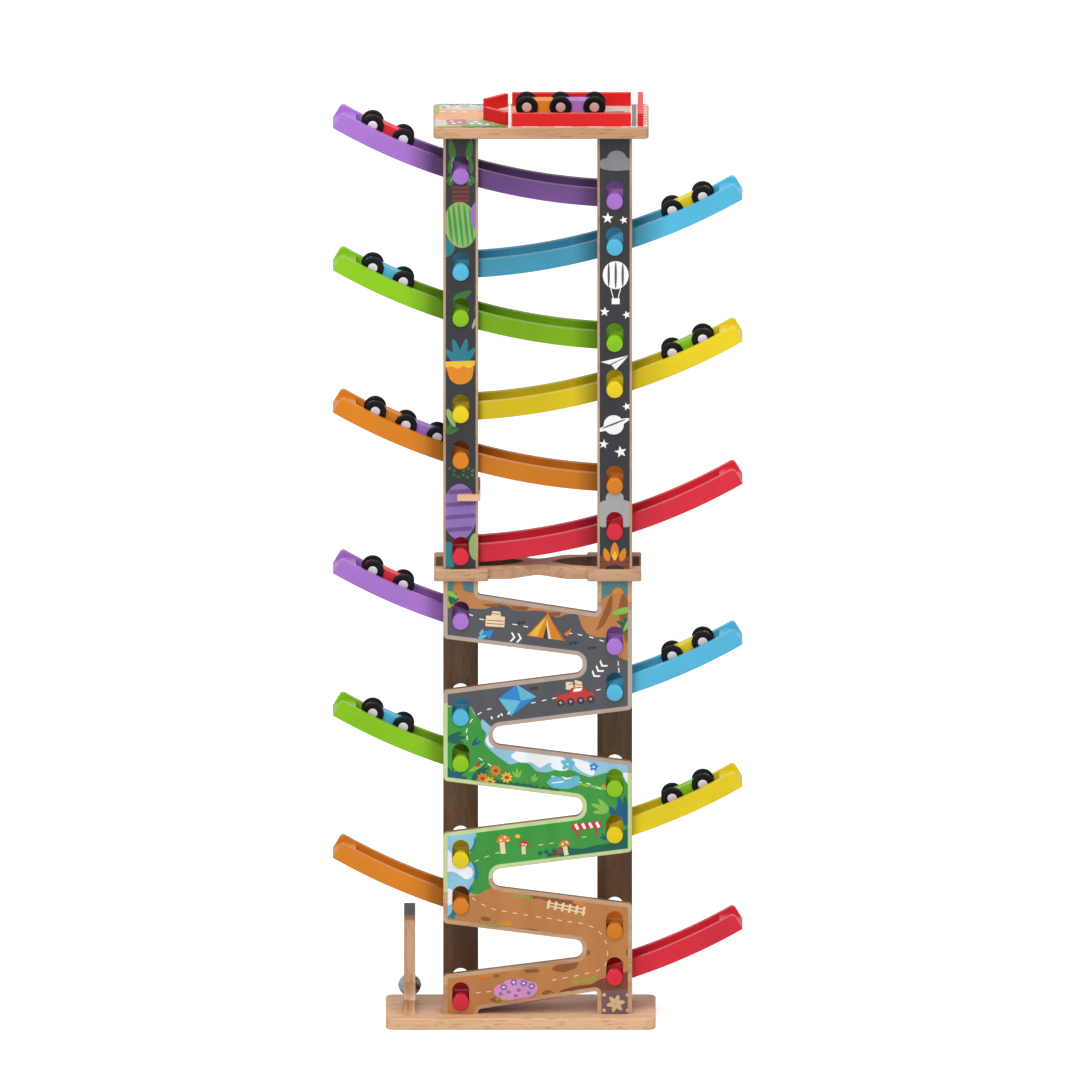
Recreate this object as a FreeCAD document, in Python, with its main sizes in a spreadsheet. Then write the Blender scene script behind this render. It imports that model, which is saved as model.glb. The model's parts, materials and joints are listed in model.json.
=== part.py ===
# Wooden toy car ramp: a two-tier tower of twelve curved tracks with ten little cars
#
# Frame: +X to the right of the tower, +Y to its back, +Z up. The origin is on the floor,
# halfway between the two columns of posts and halfway between the front and rear panels.
# All lengths are millimetres and all angles degrees.

import FreeCAD, Part
import math
import os
import re
import Sketcher

Vector = FreeCAD.Vector
Rotation = FreeCAD.Rotation
X_AXIS = Vector(1, 0, 0)
Y_AXIS = Vector(0, 1, 0)
Z_AXIS = Vector(0, 0, 1)

# Driving dimensions, one cell each
SIZES = (
    # boards
    ("base_left", 152.0),
    ("base_right", 118.0),
    ("base_depth", 95.0),
    ("base_thick", 12.0),
    ("base_corner", 8.0),
    ("plate_thick", 12.0),
    ("plate_reach", 103.7),
    ("plate_depth", 70.8),
    ("plate_step", 49.5),
    ("neck_depth", 52.0),
    ("neck_reach", 28.0),
    ("waist_depth", 18.0),
    ("waist_round", 13.0),
    ("step_round", 2.6),
    ("arm_round", 3.0),
    ("arm_gap", 37.0),
    ("gap_start", 58.0),
    ("gap_tip", 14.5),
    ("gap_radius", 60.4),
    ("top_left", 104.3),
    ("top_right", 111.0),
    ("top_depth", 93.0),
    ("top_corner", 5.0),
    ("edge_chamfer", 1.0),
    # panels and posts
    ("tier_height", 449.0),
    ("post_offset", 77.0),
    ("post_width", 35.0),
    ("panel_thick", 6.0),
    ("panel_gap", 48.0),
    ("tenon_width", 18.0),
    ("tenon_length", 5.0),
    ("joint_gap", 0.15),
    # openings of the printed lower panel
    ("notch_mouth", 53.6),
    ("notch_end", 17.6),
    ("notch_reach", 44.7),
    ("notch_round", 6.0),
    ("mouth_round", 5.0),
    ("notch_sink", 9.6),
    ("window_left", 15.0),
    ("window_right", 34.0),
    ("door_left", 5.0),
    ("door_right", 24.0),
    # tracks
    ("head_room", 77.5),
    ("foot_room", 3.2),
    ("track_radius", 593.0),
    ("track_width", 42.0),
    ("track_height", 18.0),
    ("floor_thick", 7.5),
    ("channel_width", 28.0),
    ("valley_offset", 96.2),
    ("tip_reach", 205.0),
    ("low_reach", 90.0),
    ("end_block", 24.6),
    ("hump_radius", 22.0),
    ("hump_rise", 0.4),
    ("hump_crest", 14.5),
    ("hump_air", 2.0),
    ("ear_round", 4.0),
    ("channel_air", 12.0),
    # pegs and the slots that they drop into
    ("peg_diameter", 16.5),
    ("peg_rise", 8.5),
    ("peg_proud", 2.3),
    ("slot_gap", 0.3),
    ("slot_rise", 12.5),
    # rails of the parking deck
    ("rail_height", 13.4),
    ("rail_thick", 5.0),
    ("rail_inset", 4.0),
    ("rail_start", 25.7),
    ("rail_length", 119.0),
    ("wing_start", 54.7),
    ("wing_length", 31.0),
    ("wing_mouth", 26.4),
    ("wing_angle", 45.0),
    ("stop_start", 100.0),
    ("stop_thick", 5.5),
    # bell and its board
    ("bell_board_x", -128.0),
    ("bell_board_thick", 11.3),
    ("bell_board_depth", 69.0),
    ("bell_board_gap", 19.3),
    ("bell_board_round", 6.0),
    ("scallop_high", 19.0),
    ("scallop_low", 15.5),
    ("scallop_round", 13.0),
    ("bell_window_radius", 17.0),
    ("bell_window_sill", 6.0),
    ("bell_pin_radius", 1.0),
    ("bell_pin_depth", 3.0),
    ("bell_pin_gap", 0.08),
    ("bell_rise", 22.4),
    ("bell_drop", 15.0),
    ("bell_radius", 11.8),
    ("bell_lug_thick", 2.0),
    ("bell_lug_width", 5.0),
    ("bell_slit", 2.4),
    ("bell_slit_depth", 9.0),
    # clip between the upper left posts
    ("clip_rise", 71.4),
    ("clip_thick", 6.2),
    ("clip_reach", 21.0),
    ("clip_neck", 2.3),
    ("clip_lip", 6.0),
    ("clip_gap", 0.1),
    # cars
    ("wheelbase", 33.8),
    ("wheel_radius", 11.2),
    ("wheel_thick", 3.0),
    ("car_width", 21.6),
    ("axle_radius", 1.5),
    ("axle_gap", 0.06),
    ("wheel_gap", 0.4),
    ("body_half_height", 6.0),
    ("body_nose", 8.0),
    ("body_chamfer", 3.5),
    ("hitch_width", 5.0),
    ("hitch_gap", 0.3),
    ("hitch_reach", 7.6),
    ("roll_gap", 0.3),
    ("car_setback", 30.5),
    ("train_setback", 48.5),
    ("deck_train_x", 22.9),
)

# Tracks from the top down, in both tiers: odd ones have their high end on the left
COLOURS = ("purple", "blue", "green", "yellow", "orange", "red")
PITCHES = len(COLOURS) - 1
CARS = {"purple": "red", "blue": "yellow", "green": "blue", "yellow": "green"}
TIERS = ("upper", "lower")

# Small round pieces and the holes for them have few flats
WHEEL_SIDES = 12
AXLE_SIDES = 8
PEG_SIDES = 10
SLOT_SIDES = 8
BELL_SIDES = 12

# Heights and angles that several pieces share
FIRST_RISE = "(tier_height - head_room)"
TRACK_PITCH = f"(({FIRST_RISE} - foot_room) / {PITCHES})"
CAR_REACH = "(tip_reach - end_block - car_setback)"
TRAIN_REACH = "(tip_reach - end_block - train_setback)"
MIDDLE_PLATE = "base_thick + tier_height"
UPPER_FLOOR = "base_thick + tier_height + plate_thick"
DECK = "base_thick + 2 * tier_height + 2 * plate_thick"
CAVITY = "(track_radius - floor_thick)"
RIM = "(track_radius - track_height)"
VALLEY_TO_TIP = "(tip_reach + valley_offset)"
CHANNEL_ANGLE = f"asin(({VALLEY_TO_TIP} - end_block) / {RIM})"
HUB_PATH = f"({CAVITY} - roll_gap - wheel_radius)"
SLOT_RADIUS = "(peg_diameter / 2 + slot_gap)"
BODY_WIDTH = "(car_width - 2 * wheel_thick - 2 * wheel_gap)"
# The bell board stands just clear of the underside of the lower orange track
BELL_BOARD_REACH = "(valley_offset - bell_board_x - bell_board_thick / 2)"
BELL_BOARD_HEIGHT = f"({FIRST_RISE} - {COLOURS.index('orange')} * {TRACK_PITCH} + track_radius" \
    f" - sqrt(track_radius ^ 2 - {BELL_BOARD_REACH} ^ 2) - bell_board_gap)"
BELL_PIN_RISE = "(bell_rise + bell_drop)"
BELL_PIN_REACH = "(sqrt(bell_window_radius ^ 2 - (bell_rise + bell_drop - bell_window_sill" \
    " - bell_window_radius) ^ 2) + bell_pin_depth)"

doc = FreeCAD.newDocument("toy_car_ramp")
sheet = doc.addObject("Spreadsheet::Sheet", "Sizes")
for row, (alias, number) in enumerate(SIZES, 1):
    sheet.set(f"A{row}", alias)
    sheet.set(f"B{row}", str(number))
    sheet.setAlias(f"B{row}", alias)
doc.recompute()
ALIASES = {alias for alias, number in SIZES}


def cells(text):
    """The expression with each size name turned into its cell."""
    return re.sub(r"[a-z][a-z_]+", lambda word: "Sizes." + word[0] if word[0] in ALIASES else word[0], text)


def value(text):
    """The number that an expression stands for."""
    result = sheet.evalExpression(cells(text))
    return float(getattr(result, "Value", result))


def bind(target, **sizes):
    """Tie properties to the sheet."""
    for name, text in sizes.items():
        target.setExpression(name, cells(text))


def sketch_on(body, name, role, offset="0"):
    """A sketch on one of the body's own planes, moved along the plane's normal."""
    sketch = body.newObject("Sketcher::SketchObject", name)
    plane = next(item for item in body.Origin.OriginFeatures if item.Role == role)
    sketch.AttachmentSupport = [(plane, "")]
    sketch.MapMode = "FlatFace"
    sketch.setExpression(".AttachmentOffset.Base.z", cells(offset))
    return sketch


def pin_point(sketch, index, end, x_text, y_text):
    """Hold one end of a sketch line at a place that the sheet sets."""
    for kind, text in (("DistanceX", x_text), ("DistanceY", y_text)):
        rule = sketch.addConstraint(Sketcher.Constraint(kind, -1, 1, index, end, value(text)))
        sketch.setExpression(f"Constraints[{rule}]", cells(text))


def arc_between(start, end, radius, turn):
    """The short arc from start to end; turn is 1 to bend left and -1 to bend right."""
    chord = end - start
    side = Vector(-chord.y, chord.x, 0).normalize()
    centre = (start + end) / 2 + side * turn * math.sqrt(radius ** 2 - chord.Length ** 2 / 4)
    first, last = (start, end) if turn > 0 else (end, start)
    angles = [math.atan2(spot.y - centre.y, spot.x - centre.x) for spot in (first, last)]
    return Part.ArcOfCircle(Part.Circle(centre, Z_AXIS, radius), *angles)


def outline(sketch, path):
    """A closed outline. A step is (x, y), or (x, y, radius, turn) where an arc leads to it."""
    spots = [Vector(value(step[0]), value(step[1]), 0) for step in path]
    ends = []
    for number, step in enumerate(path):
        start, end = spots[number - 1], spots[number]
        if len(step) == 2:
            ends.append((sketch.addGeometry(Part.LineSegment(start, end)), 1, 2))
            continue
        radius, turn = step[2:]
        index = sketch.addGeometry(arc_between(start, end, value(radius), turn))
        ends.append((index, 1, 2) if turn > 0 else (index, 2, 1))
    for number, (index, first, last) in enumerate(ends):
        before = ends[number - 1]
        sketch.addConstraint(Sketcher.Constraint("Coincident", before[0], before[2], index, first))
    for (index, first, last), step in zip(ends, path):
        pin_point(sketch, index, last, step[0], step[1])
        if len(step) == 4:
            rule = sketch.addConstraint(Sketcher.Constraint("Radius", index, value(step[2])))
            sketch.setExpression(f"Constraints[{rule}]", cells(step[2]))


def rectangle(sketch, left, right, low, high):
    outline(sketch, [(left, low), (right, low), (right, high), (left, high)])


def corners(x_text, y_text, radius, sides):
    """Corners of a regular polygon inside a circle."""
    turns = [(number + 0.5) * 360 / sides for number in range(sides)]
    return [(f"{x_text} + {radius} * cos({turn})", f"{y_text} + {radius} * sin({turn})") for turn in turns]


def flats(x_text, y_text, radius, sides):
    """Corners of a regular polygon whose flats touch a circle from outside."""
    return corners(x_text, y_text, f"({radius} / cos({180 / sides}))", sides)


def circle(sketch, x_text, y_text, radius):
    """A circle whose centre and radius come from the sheet."""
    centre = Vector(value(x_text), value(y_text), 0)
    index = sketch.addGeometry(Part.Circle(centre, Z_AXIS, value(radius)))
    pin_point(sketch, index, 3, x_text, y_text)
    rule = sketch.addConstraint(Sketcher.Constraint("Radius", index, value(radius)))
    sketch.setExpression(f"Constraints[{rule}]", cells(radius))


def pad(body, sketch, length, both_ways=False, reverse=False):
    """Add material to the sketch, along its normal or half to each side."""
    feature = body.newObject("PartDesign::Pad", sketch.Name + "_pad")
    feature.Profile = sketch
    feature.Midplane = both_ways
    feature.Reversed = reverse
    bind(feature, Length=length)
    sketch.Visibility = False
    return feature


def pocket(body, sketch, length, both_ways=False, reverse=False):
    """Take material away; by itself it goes against the sketch's normal."""
    doc.recompute()
    before = body.Shape.Volume
    feature = body.newObject("PartDesign::Pocket", sketch.Name + "_pocket")
    feature.Profile = sketch
    feature.Midplane = both_ways
    feature.Reversed = reverse
    bind(feature, Length=length)
    doc.recompute()
    if body.Shape.Volume > before - 1e-3:
        raise RuntimeError(f"{feature.Name} takes nothing away")
    return feature


def repeat_down(body, cut, count):
    """Repeat a pocket down the body at every second track."""
    pattern = body.newObject("PartDesign::LinearPattern", cut.Name + "_row")
    pattern.Originals = [cut]
    upright = next(item for item in body.Origin.OriginFeatures if item.Role == "Z_Axis")
    pattern.Direction = (upright, [""])
    pattern.Reversed = True
    pattern.Occurrences = count
    bind(pattern, Length=f"{count - 1} * 2 * {TRACK_PITCH}")
    cut.Visibility = False
    body.Tip = pattern


def trim_edges(body, size, chosen, chamfer=False):
    """Fillet or chamfer the edges of the body's latest shape that pass the test."""
    doc.recompute()
    tip = body.Tip
    names = [f"Edge{number}" for number, edge in enumerate(tip.Shape.Edges, 1) if chosen(edge)]
    kind, field = ("Chamfer", "Size") if chamfer else ("Fillet", "Radius")
    feature = body.newObject(f"PartDesign::{kind}", f"{tip.Name}_{kind}")
    feature.Base = (tip, names)
    bind(feature, **{field: size})
    return feature


def straight_along(edge, axis):
    """Whether an edge is a straight line along an axis."""
    if not isinstance(edge.Curve, Part.Line):
        return False
    return abs(edge.Curve.Direction.dot(axis)) > 0.9999


def new_body(label):
    body = doc.addObject("PartDesign::Body", label)
    body.Label = label
    return body


def place(piece, x="0", y="0", z="0", axis=Z_AXIS, angle="0"):
    """Turn a piece about an axis through its own origin and move that origin to a place."""
    degrees = value(angle)
    piece.Placement = FreeCAD.Placement(Vector(value(x), value(y), value(z)), Rotation(axis, degrees))
    for name, text in (("x", x), ("y", y), ("z", z)):
        piece.setExpression(f".Placement.Base.{name}", cells(text))


def prism(name, sides, radius, height):
    """A round bar with flats, along Z until it is placed."""
    bar = doc.addObject("Part::Prism", name)
    bar.Polygon = sides
    bind(bar, Circumradius=radius, Height=height)
    return bar


def group(label, members):
    """Separate solids that share one node."""
    compound = doc.addObject("Part::Compound", label)
    compound.Label = label
    compound.Links = members
    return compound


# Boards

def mortises(body, name, level, upwards=False):
    """Blind slots for the posts' tenons, cut into the face at the given level."""
    half = "(tenon_width / 2 + joint_gap)"
    near = "(panel_gap / 2 - joint_gap)"
    far = "(panel_gap / 2 + panel_thick + joint_gap)"
    sketch = sketch_on(body, name, "XY_Plane", level)
    for centre in ("-post_offset", "post_offset"):
        rectangle(sketch, f"{centre} - {half}", f"{centre} + {half}", f"-{far}", f"-{near}")
        rectangle(sketch, f"{centre} - {half}", f"{centre} + {half}", near, far)
    pocket(body, sketch, "tenon_length + joint_gap", reverse=upwards)


def board(label, left, right, depth, thick, corner):
    """A flat board with rounded corners and softened edges, its underside at z = 0."""
    body = new_body(label)
    sketch = sketch_on(body, label + "_plan", "XY_Plane")
    rectangle(sketch, f"-{left}", right, f"-{depth} / 2", f"{depth} / 2")
    pad(body, sketch, thick)
    trim_edges(body, corner, lambda edge: straight_along(edge, Z_AXIS))
    trim_edges(body, "edge_chamfer", lambda edge: abs(edge.tangentAt(edge.FirstParameter).z) < 0.01,
               chamfer=True)
    return body


def base_board():
    body = board("base_board", "base_left", "base_right", "base_depth", "base_thick", "base_corner")
    mortises(body, "base_mortises", "base_thick")
    sketch = sketch_on(body, "bell_mortise", "XY_Plane", "base_thick")
    half_x = "(bell_board_thick / 2 + joint_gap)"
    half_y = "(tenon_width + joint_gap)"
    rectangle(sketch, f"bell_board_x - {half_x}", f"bell_board_x + {half_x}", f"-{half_y}", half_y)
    pocket(body, sketch, "tenon_length + joint_gap")
    return body


def top_board():
    body = board("top_board", "top_left", "top_right", "top_depth", "plate_thick", "top_corner")
    mortises(body, "top_mortises", "0", upwards=True)
    place(body, z=f"{DECK} - plate_thick")
    return body


def middle_plate():
    """A bow-tie plate: two arms at each end for the posts, joined at a narrow waist."""
    body = new_body("middle_plate")
    edge = "plate_depth / 2"
    neck = "neck_depth / 2"
    sketch = sketch_on(body, "middle_plan", "XY_Plane")
    # the waist is drawn in from the front and the back, and each opening runs to a point
    outline(sketch, [
        ("-plate_reach", f"-{edge}"), ("-plate_step", f"-{edge}"), ("-plate_step", f"-{neck}"),
        ("-neck_reach", f"-{neck}"), ("0", "-waist_depth / 2"), ("neck_reach", f"-{neck}"),
        ("plate_step", f"-{neck}"), ("plate_step", f"-{edge}"), ("plate_reach", f"-{edge}"),
        ("plate_reach", "-arm_gap / 2"), ("gap_start", "-arm_gap / 2"),
        ("gap_tip", "0", "gap_radius", -1), ("gap_start", "arm_gap / 2", "gap_radius", -1),
        ("plate_reach", "arm_gap / 2"), ("plate_reach", edge), ("plate_step", edge),
        ("plate_step", neck), ("neck_reach", neck), ("0", "waist_depth / 2"),
        ("-neck_reach", neck), ("-plate_step", neck), ("-plate_step", edge),
        ("-plate_reach", edge), ("-plate_reach", "arm_gap / 2"), ("-gap_start", "arm_gap / 2"),
        ("-gap_tip", "0", "gap_radius", -1), ("-gap_start", "-arm_gap / 2", "gap_radius", -1),
        ("-plate_reach", "-arm_gap / 2"),
    ])
    pad(body, sketch, "plate_thick")
    for radius, reaches in (("waist_round", ("0", "neck_reach")), ("step_round", ("plate_step",)),
                            ("arm_round", ("plate_reach",))):
        chosen = [value(reach) for reach in reaches]
        trim_edges(body, radius, lambda edge: straight_along(edge, Z_AXIS)
                   and any(abs(abs(edge.Vertexes[0].X) - reach) < 0.01 for reach in chosen))
    mortises(body, "middle_mortises_low", "0", upwards=True)
    mortises(body, "middle_mortises_high", "plate_thick")
    place(body, z=MIDDLE_PLATE)
    return body


# Panels and posts

def peg_height(rank, column):
    """Height of a track's pegs above the tier's floor, on the left (-1) or the right (1) posts."""
    high_side = -1 if rank % 2 == 0 else 1
    reach = f"(valley_offset {'+' if column == high_side else '-'} post_offset)"
    arc_centre = f"({FIRST_RISE} - {rank} * {TRACK_PITCH} + track_radius)"
    return f"({arc_centre} - sqrt((track_radius - peg_rise) ^ 2 - {reach} ^ 2))"


def slot(sketch, x, low, high, radius):
    """An upright slot outline with round ends about two centres, one above the other."""
    half = SLOT_SIDES // 2
    outline(sketch, flats(x, low, radius, SLOT_SIDES)[half:] + flats(x, high, radius, SLOT_SIDES)[:half])


def peg_slots(body, name, column):
    """Slots that the pegs of the six tracks are dropped into, on one column of posts."""
    centre = f"({column} * post_offset)"
    sketch = sketch_on(body, name, "XZ_Plane", "2 * panel_thick")
    # the first two tracks lean opposite ways, and each is repeated at twice the pitch
    for rank in (0, 1):
        height = peg_height(rank, column)
        slot(sketch, centre, height, f"{height} + slot_rise", SLOT_RADIUS)
    repeat_down(body, pocket(body, sketch, "3 * panel_thick"), len(COLOURS) // 2)


def tenoned_column(centre):
    """Outline of one post, with a tenon at its foot and one at its head."""
    side = "post_width / 2"
    tenon = "tenon_width / 2"
    return [
        (f"{centre} - {side}", "0"), (f"{centre} - {tenon}", "0"),
        (f"{centre} - {tenon}", "-tenon_length"), (f"{centre} + {tenon}", "-tenon_length"),
        (f"{centre} + {tenon}", "0"), (f"{centre} + {side}", "0"),
        (f"{centre} + {side}", "tier_height"), (f"{centre} + {tenon}", "tier_height"),
        (f"{centre} + {tenon}", "tier_height + tenon_length"),
        (f"{centre} - {tenon}", "tier_height + tenon_length"),
        (f"{centre} - {tenon}", "tier_height"), (f"{centre} - {side}", "tier_height"),
    ]


def post(label, column, face, floor):
    """One post: column is -1 left or 1 right, face is -1 front or 1 rear."""
    body = new_body(label)
    sketch = sketch_on(body, label + "_outline", "XZ_Plane")
    outline(sketch, tenoned_column(f"({column} * post_offset)"))
    pad(body, sketch, "panel_thick")
    peg_slots(body, label + "_slots", column)
    place(body, y="-panel_gap / 2" if face < 0 else "panel_gap / 2 + panel_thick", z=floor)
    return body


def post_pair(label, face, floor):
    sides = (("left", -1), ("right", 1))
    return group(label, [post(f"{label}_{side}", column, face, floor) for side, column in sides])


def lower_front_panel():
    """The two front columns of the lower tier in one board, with notches from alternate sides."""
    body = new_body("lower_front_panel")
    outer = "(post_offset + post_width / 2)"
    inner = "(post_offset - post_width / 2)"
    tenons = ("(post_offset - tenon_width / 2)", "(post_offset + tenon_width / 2)")
    near, far = tenons
    head = "tier_height"
    tip = "tier_height + tenon_length"
    sketch = sketch_on(body, "panel_outline", "XZ_Plane")
    # the door is open to the foot and the window to the head, and both have a sloping edge
    outline(sketch, [
        (f"-{outer}", "0"), (f"-{far}", "0"), (f"-{far}", "-tenon_length"),
        (f"-{near}", "-tenon_length"), (f"-{near}", "0"), (f"-{inner}", "0"),
        (f"-{inner}", "door_left"), (inner, "door_right"), (inner, "0"), (near, "0"),
        (near, "-tenon_length"), (far, "-tenon_length"), (far, "0"), (outer, "0"),
        (outer, head), (far, head), (far, tip), (near, tip), (near, head), (inner, head),
        (inner, f"{head} - window_right"), (f"-{inner}", f"{head} - window_left"),
        (f"-{inner}", head), (f"-{near}", head), (f"-{near}", tip), (f"-{far}", tip),
        (f"-{far}", head), (f"-{outer}", head),
    ])
    pad(body, sketch, "panel_thick")
    for rank, side, count in ((0, -1, 3), (1, 1, 2)):
        axis = f"({FIRST_RISE} - notch_sink - {rank} * {TRACK_PITCH})"
        notch = sketch_on(body, f"notch_{rank + 1}", "XZ_Plane", "2 * panel_thick")
        outline(notch, [
            (f"{side} * {outer}", f"{axis} - notch_mouth / 2"),
            (f"{-side} * notch_reach", f"{axis} - notch_end / 2"),
            (f"{-side} * notch_reach", f"{axis} + notch_end / 2"),
            (f"{side} * {outer}", f"{axis} + notch_mouth / 2"),
        ])
        repeat_down(body, pocket(body, notch, "3 * panel_thick"), count)
    rounds = (("notch_round", value("notch_reach")), ("mouth_round", value(outer)))
    for size, reach in rounds:
        trim_edges(body, size, lambda edge: straight_along(edge, Y_AXIS)
                   and abs(abs(edge.Vertexes[0].X) - reach) < 0.01
                   and 0.01 < edge.Vertexes[0].Z < value(head) - 0.01)
    for column, side in ((-1, "left"), (1, "right")):
        peg_slots(body, f"panel_slots_{side}", column)
    place(body, y="-panel_gap / 2", z="base_thick")
    return body


# Tracks

def track(label, rank, floor):
    """A curved track with a channel for the cars, laid with its high end on the left or right."""
    body = new_body(label)
    tip_angle = f"asin({VALLEY_TO_TIP} / track_radius)"
    low_angle = "asin((valley_offset - low_reach) / track_radius)"

    def spot(radius, angle, *arc):
        """A place in the side view, by its distance and angle from the arc's centre."""
        return (f"-{radius} * sin({angle})", f"track_radius - {radius} * cos({angle})") + arc

    side_view = sketch_on(body, label + "_side", "XZ_Plane")
    outline(side_view, [
        spot("track_radius", tip_angle), spot("track_radius", low_angle, "track_radius", 1),
        spot(RIM, low_angle), spot(RIM, tip_angle, RIM, -1),
    ])
    pad(body, side_view, "track_width", both_ways=True)
    ear_x = -value(VALLEY_TO_TIP) * value(RIM) / value("track_radius")
    trim_edges(body, "ear_round", lambda edge: straight_along(edge, Y_AXIS)
               and abs(edge.Vertexes[0].X - ear_x) < 0.01)

    # the block between the ears is a low hump that falls away to the tip
    hump = sketch_on(body, label + "_hump", "XZ_Plane")
    hump_start = f"-({VALLEY_TO_TIP} - end_block - hump_air)"
    hump_end = f"-({VALLEY_TO_TIP} + hump_air)"
    hump_centre = f"(track_radius - {RIM} * cos({CHANNEL_ANGLE}) + hump_rise - hump_radius)"
    hump_top = f"{hump_centre} + hump_radius + channel_air * 2"
    inner_edge = f"{hump_centre} + sqrt(hump_radius ^ 2 - (end_block + hump_air - hump_crest) ^ 2)"
    outer_edge = f"{hump_centre} + sqrt(hump_radius ^ 2 - (hump_crest + hump_air) ^ 2)"
    outline(hump, [
        (hump_start, hump_top), (hump_end, hump_top),
        (hump_end, outer_edge), (hump_start, inner_edge, "hump_radius", -1),
    ])
    pocket(body, hump, "channel_width", both_ways=True)

    # the channel runs out at the low end and stops square at the high one
    above = f"({RIM} - channel_air)"
    channel = sketch_on(body, label + "_channel", "XZ_Plane")
    outline(channel, [
        spot(CAVITY, CHANNEL_ANGLE), spot(CAVITY, "-1", CAVITY, 1),
        spot(above, "-1"), spot(above, CHANNEL_ANGLE, above, -1),
    ])
    pocket(body, channel, "channel_width", both_ways=True)
    side = 1 if rank % 2 == 0 else -1
    place(body, x=f"{side} * valley_offset", z=f"{floor} + {FIRST_RISE} - {rank} * {TRACK_PITCH}",
          angle="0" if side > 0 else "180")
    return body


def track_pegs(floors):
    """Button pegs glued to both sides of every track, two in front and two behind."""
    length = "(panel_gap / 2 + panel_thick + peg_proud - track_width / 2)"
    pegs = []
    for floor in floors:
        for column in (-1, 1):
            for rank in range(len(COLOURS)):
                height = peg_height(rank, column)
                for face in (-1, 1):
                    peg = prism("peg", PEG_SIDES, "peg_diameter / 2", length)
                    place(peg, x=f"{column} * post_offset", y=f"{face} * track_width / 2",
                          z=f"{floor} + {height}", axis=X_AXIS, angle=str(-90 * face))
                    pegs.append(peg)
    return group("track_pegs", pegs)


# Rails of the parking deck

def rail(name, length, thick, x, y, angle="0"):
    """A straight bar standing on the deck."""
    bar = doc.addObject("Part::Box", name)
    bind(bar, Length=length, Width=thick, Height="rail_height")
    place(bar, x=x, y=y, z=DECK, angle=angle)
    return bar


def side_rails():
    outer = "(top_depth / 2 - rail_inset)"
    front = rail("front_side_rail", "rail_length", "rail_thick", "-rail_start", f"-{outer}")
    rear = rail("rear_side_rail", "rail_length", "rail_thick", "-rail_start", f"{outer} - rail_thick")
    return group("parking_side_rails", [front, rear])


def funnel_rails():
    """Two slanted bars that narrow the deck towards its exit on the left."""
    skew_x = "(rail_thick * sin(wing_angle))"
    skew_y = "(rail_thick * cos(wing_angle))"
    front = rail("front_wing", "wing_length", "rail_thick", "-wing_start",
                 f"-wing_mouth / 2 - {skew_y}", "-wing_angle")
    rear = rail("rear_wing", "wing_length", "rail_thick", f"-wing_start + {skew_x}",
                "wing_mouth / 2", "wing_angle")
    return group("parking_funnel_rails", [front, rear])


def end_stop():
    outer = "(top_depth / 2 - rail_inset)"
    bar = rail("parking_end_stop", "stop_thick", f"2 * {outer}", "stop_start", f"-{outer}")
    bar.Label = "parking_end_stop"
    return bar


# Bell, its board and the clip

def bell_board():
    """An upright board across the base, with scalloped edges and a window for the bell."""
    body = new_body("bell_board")
    edge = "bell_board_depth / 2"
    low = "scallop_low"
    high = "(scallop_low + scallop_high)"
    sketch = sketch_on(body, "bell_board_outline", "YZ_Plane", "-bell_board_thick / 2")
    outline(sketch, [
        ("-tenon_width", "0"), ("-tenon_width", "-tenon_length"), ("tenon_width", "-tenon_length"),
        ("tenon_width", "0"), (edge, "0"), (edge, low, "scallop_round", -1),
        (edge, high, "scallop_round", -1), (edge, BELL_BOARD_HEIGHT),
        (f"-{edge}", BELL_BOARD_HEIGHT), (f"-{edge}", high),
        (f"-{edge}", low, "scallop_round", -1), (f"-{edge}", "0", "scallop_round", -1),
    ])
    circle(sketch, "0", "bell_window_sill + bell_window_radius", "bell_window_radius")
    pad(body, sketch, "bell_board_thick")
    crown = value(BELL_BOARD_HEIGHT)
    trim_edges(body, "bell_board_round", lambda edge: straight_along(edge, X_AXIS)
                and abs(edge.Vertexes[0].Z - crown) < 0.01)
    bore = sketch_on(body, "bell_pin_bore", "XZ_Plane")
    outline(bore, flats("0", BELL_PIN_RISE, "(bell_pin_radius + bell_pin_gap)", AXLE_SIDES))
    pocket(body, bore, f"2 * ({BELL_PIN_REACH} + bell_pin_gap)", both_ways=True)
    place(body, x="bell_board_x", z="base_thick")
    return body


def bell():
    """A round jingle bell with a crossed slit and a lug, turning on the pin through it."""
    body = new_body("bell")
    # a short prism with wide chamfers, whose side view is a regular octagon
    flat = "(bell_radius * cos(22.5))"
    ball = sketch_on(body, "bell_ball", "XY_Plane", "-bell_drop")
    outline(ball, flats("0", "0", flat, BELL_SIDES))
    pad(body, ball, f"2 * {flat}", both_ways=True)
    trim_edges(body, f"{flat} - bell_radius * sin(22.5)",
               lambda edge: abs(edge.tangentAt(edge.FirstParameter).z) < 0.01, chamfer=True)
    lug = sketch_on(body, "bell_lug", "XZ_Plane")
    side = "bell_lug_width / 2"
    outline(lug, [
        (side, "-bell_drop"), (side, "0"), ("0", side, side, 1), (f"-{side}", "0", side, 1),
        (f"-{side}", "-bell_drop"),
    ])
    pad(body, lug, "bell_lug_thick", both_ways=True)
    for name, plane in (("bell_slit_x", "XZ_Plane"), ("bell_slit_y", "YZ_Plane")):
        slit = sketch_on(body, name, plane)
        rectangle(slit, "-bell_slit / 2", "bell_slit / 2", "-bell_drop - bell_radius",
                  "-bell_drop - bell_radius + bell_slit_depth")
        pocket(body, slit, "3 * bell_radius", both_ways=True)
    pin = sketch_on(body, "bell_pin", "XZ_Plane")
    outline(pin, corners("0", "0", "bell_pin_radius", AXLE_SIDES))
    pad(body, pin, f"2 * {BELL_PIN_REACH}", both_ways=True)
    place(body, x="bell_board_x", z=f"base_thick + {BELL_PIN_RISE}")
    return body


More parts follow.
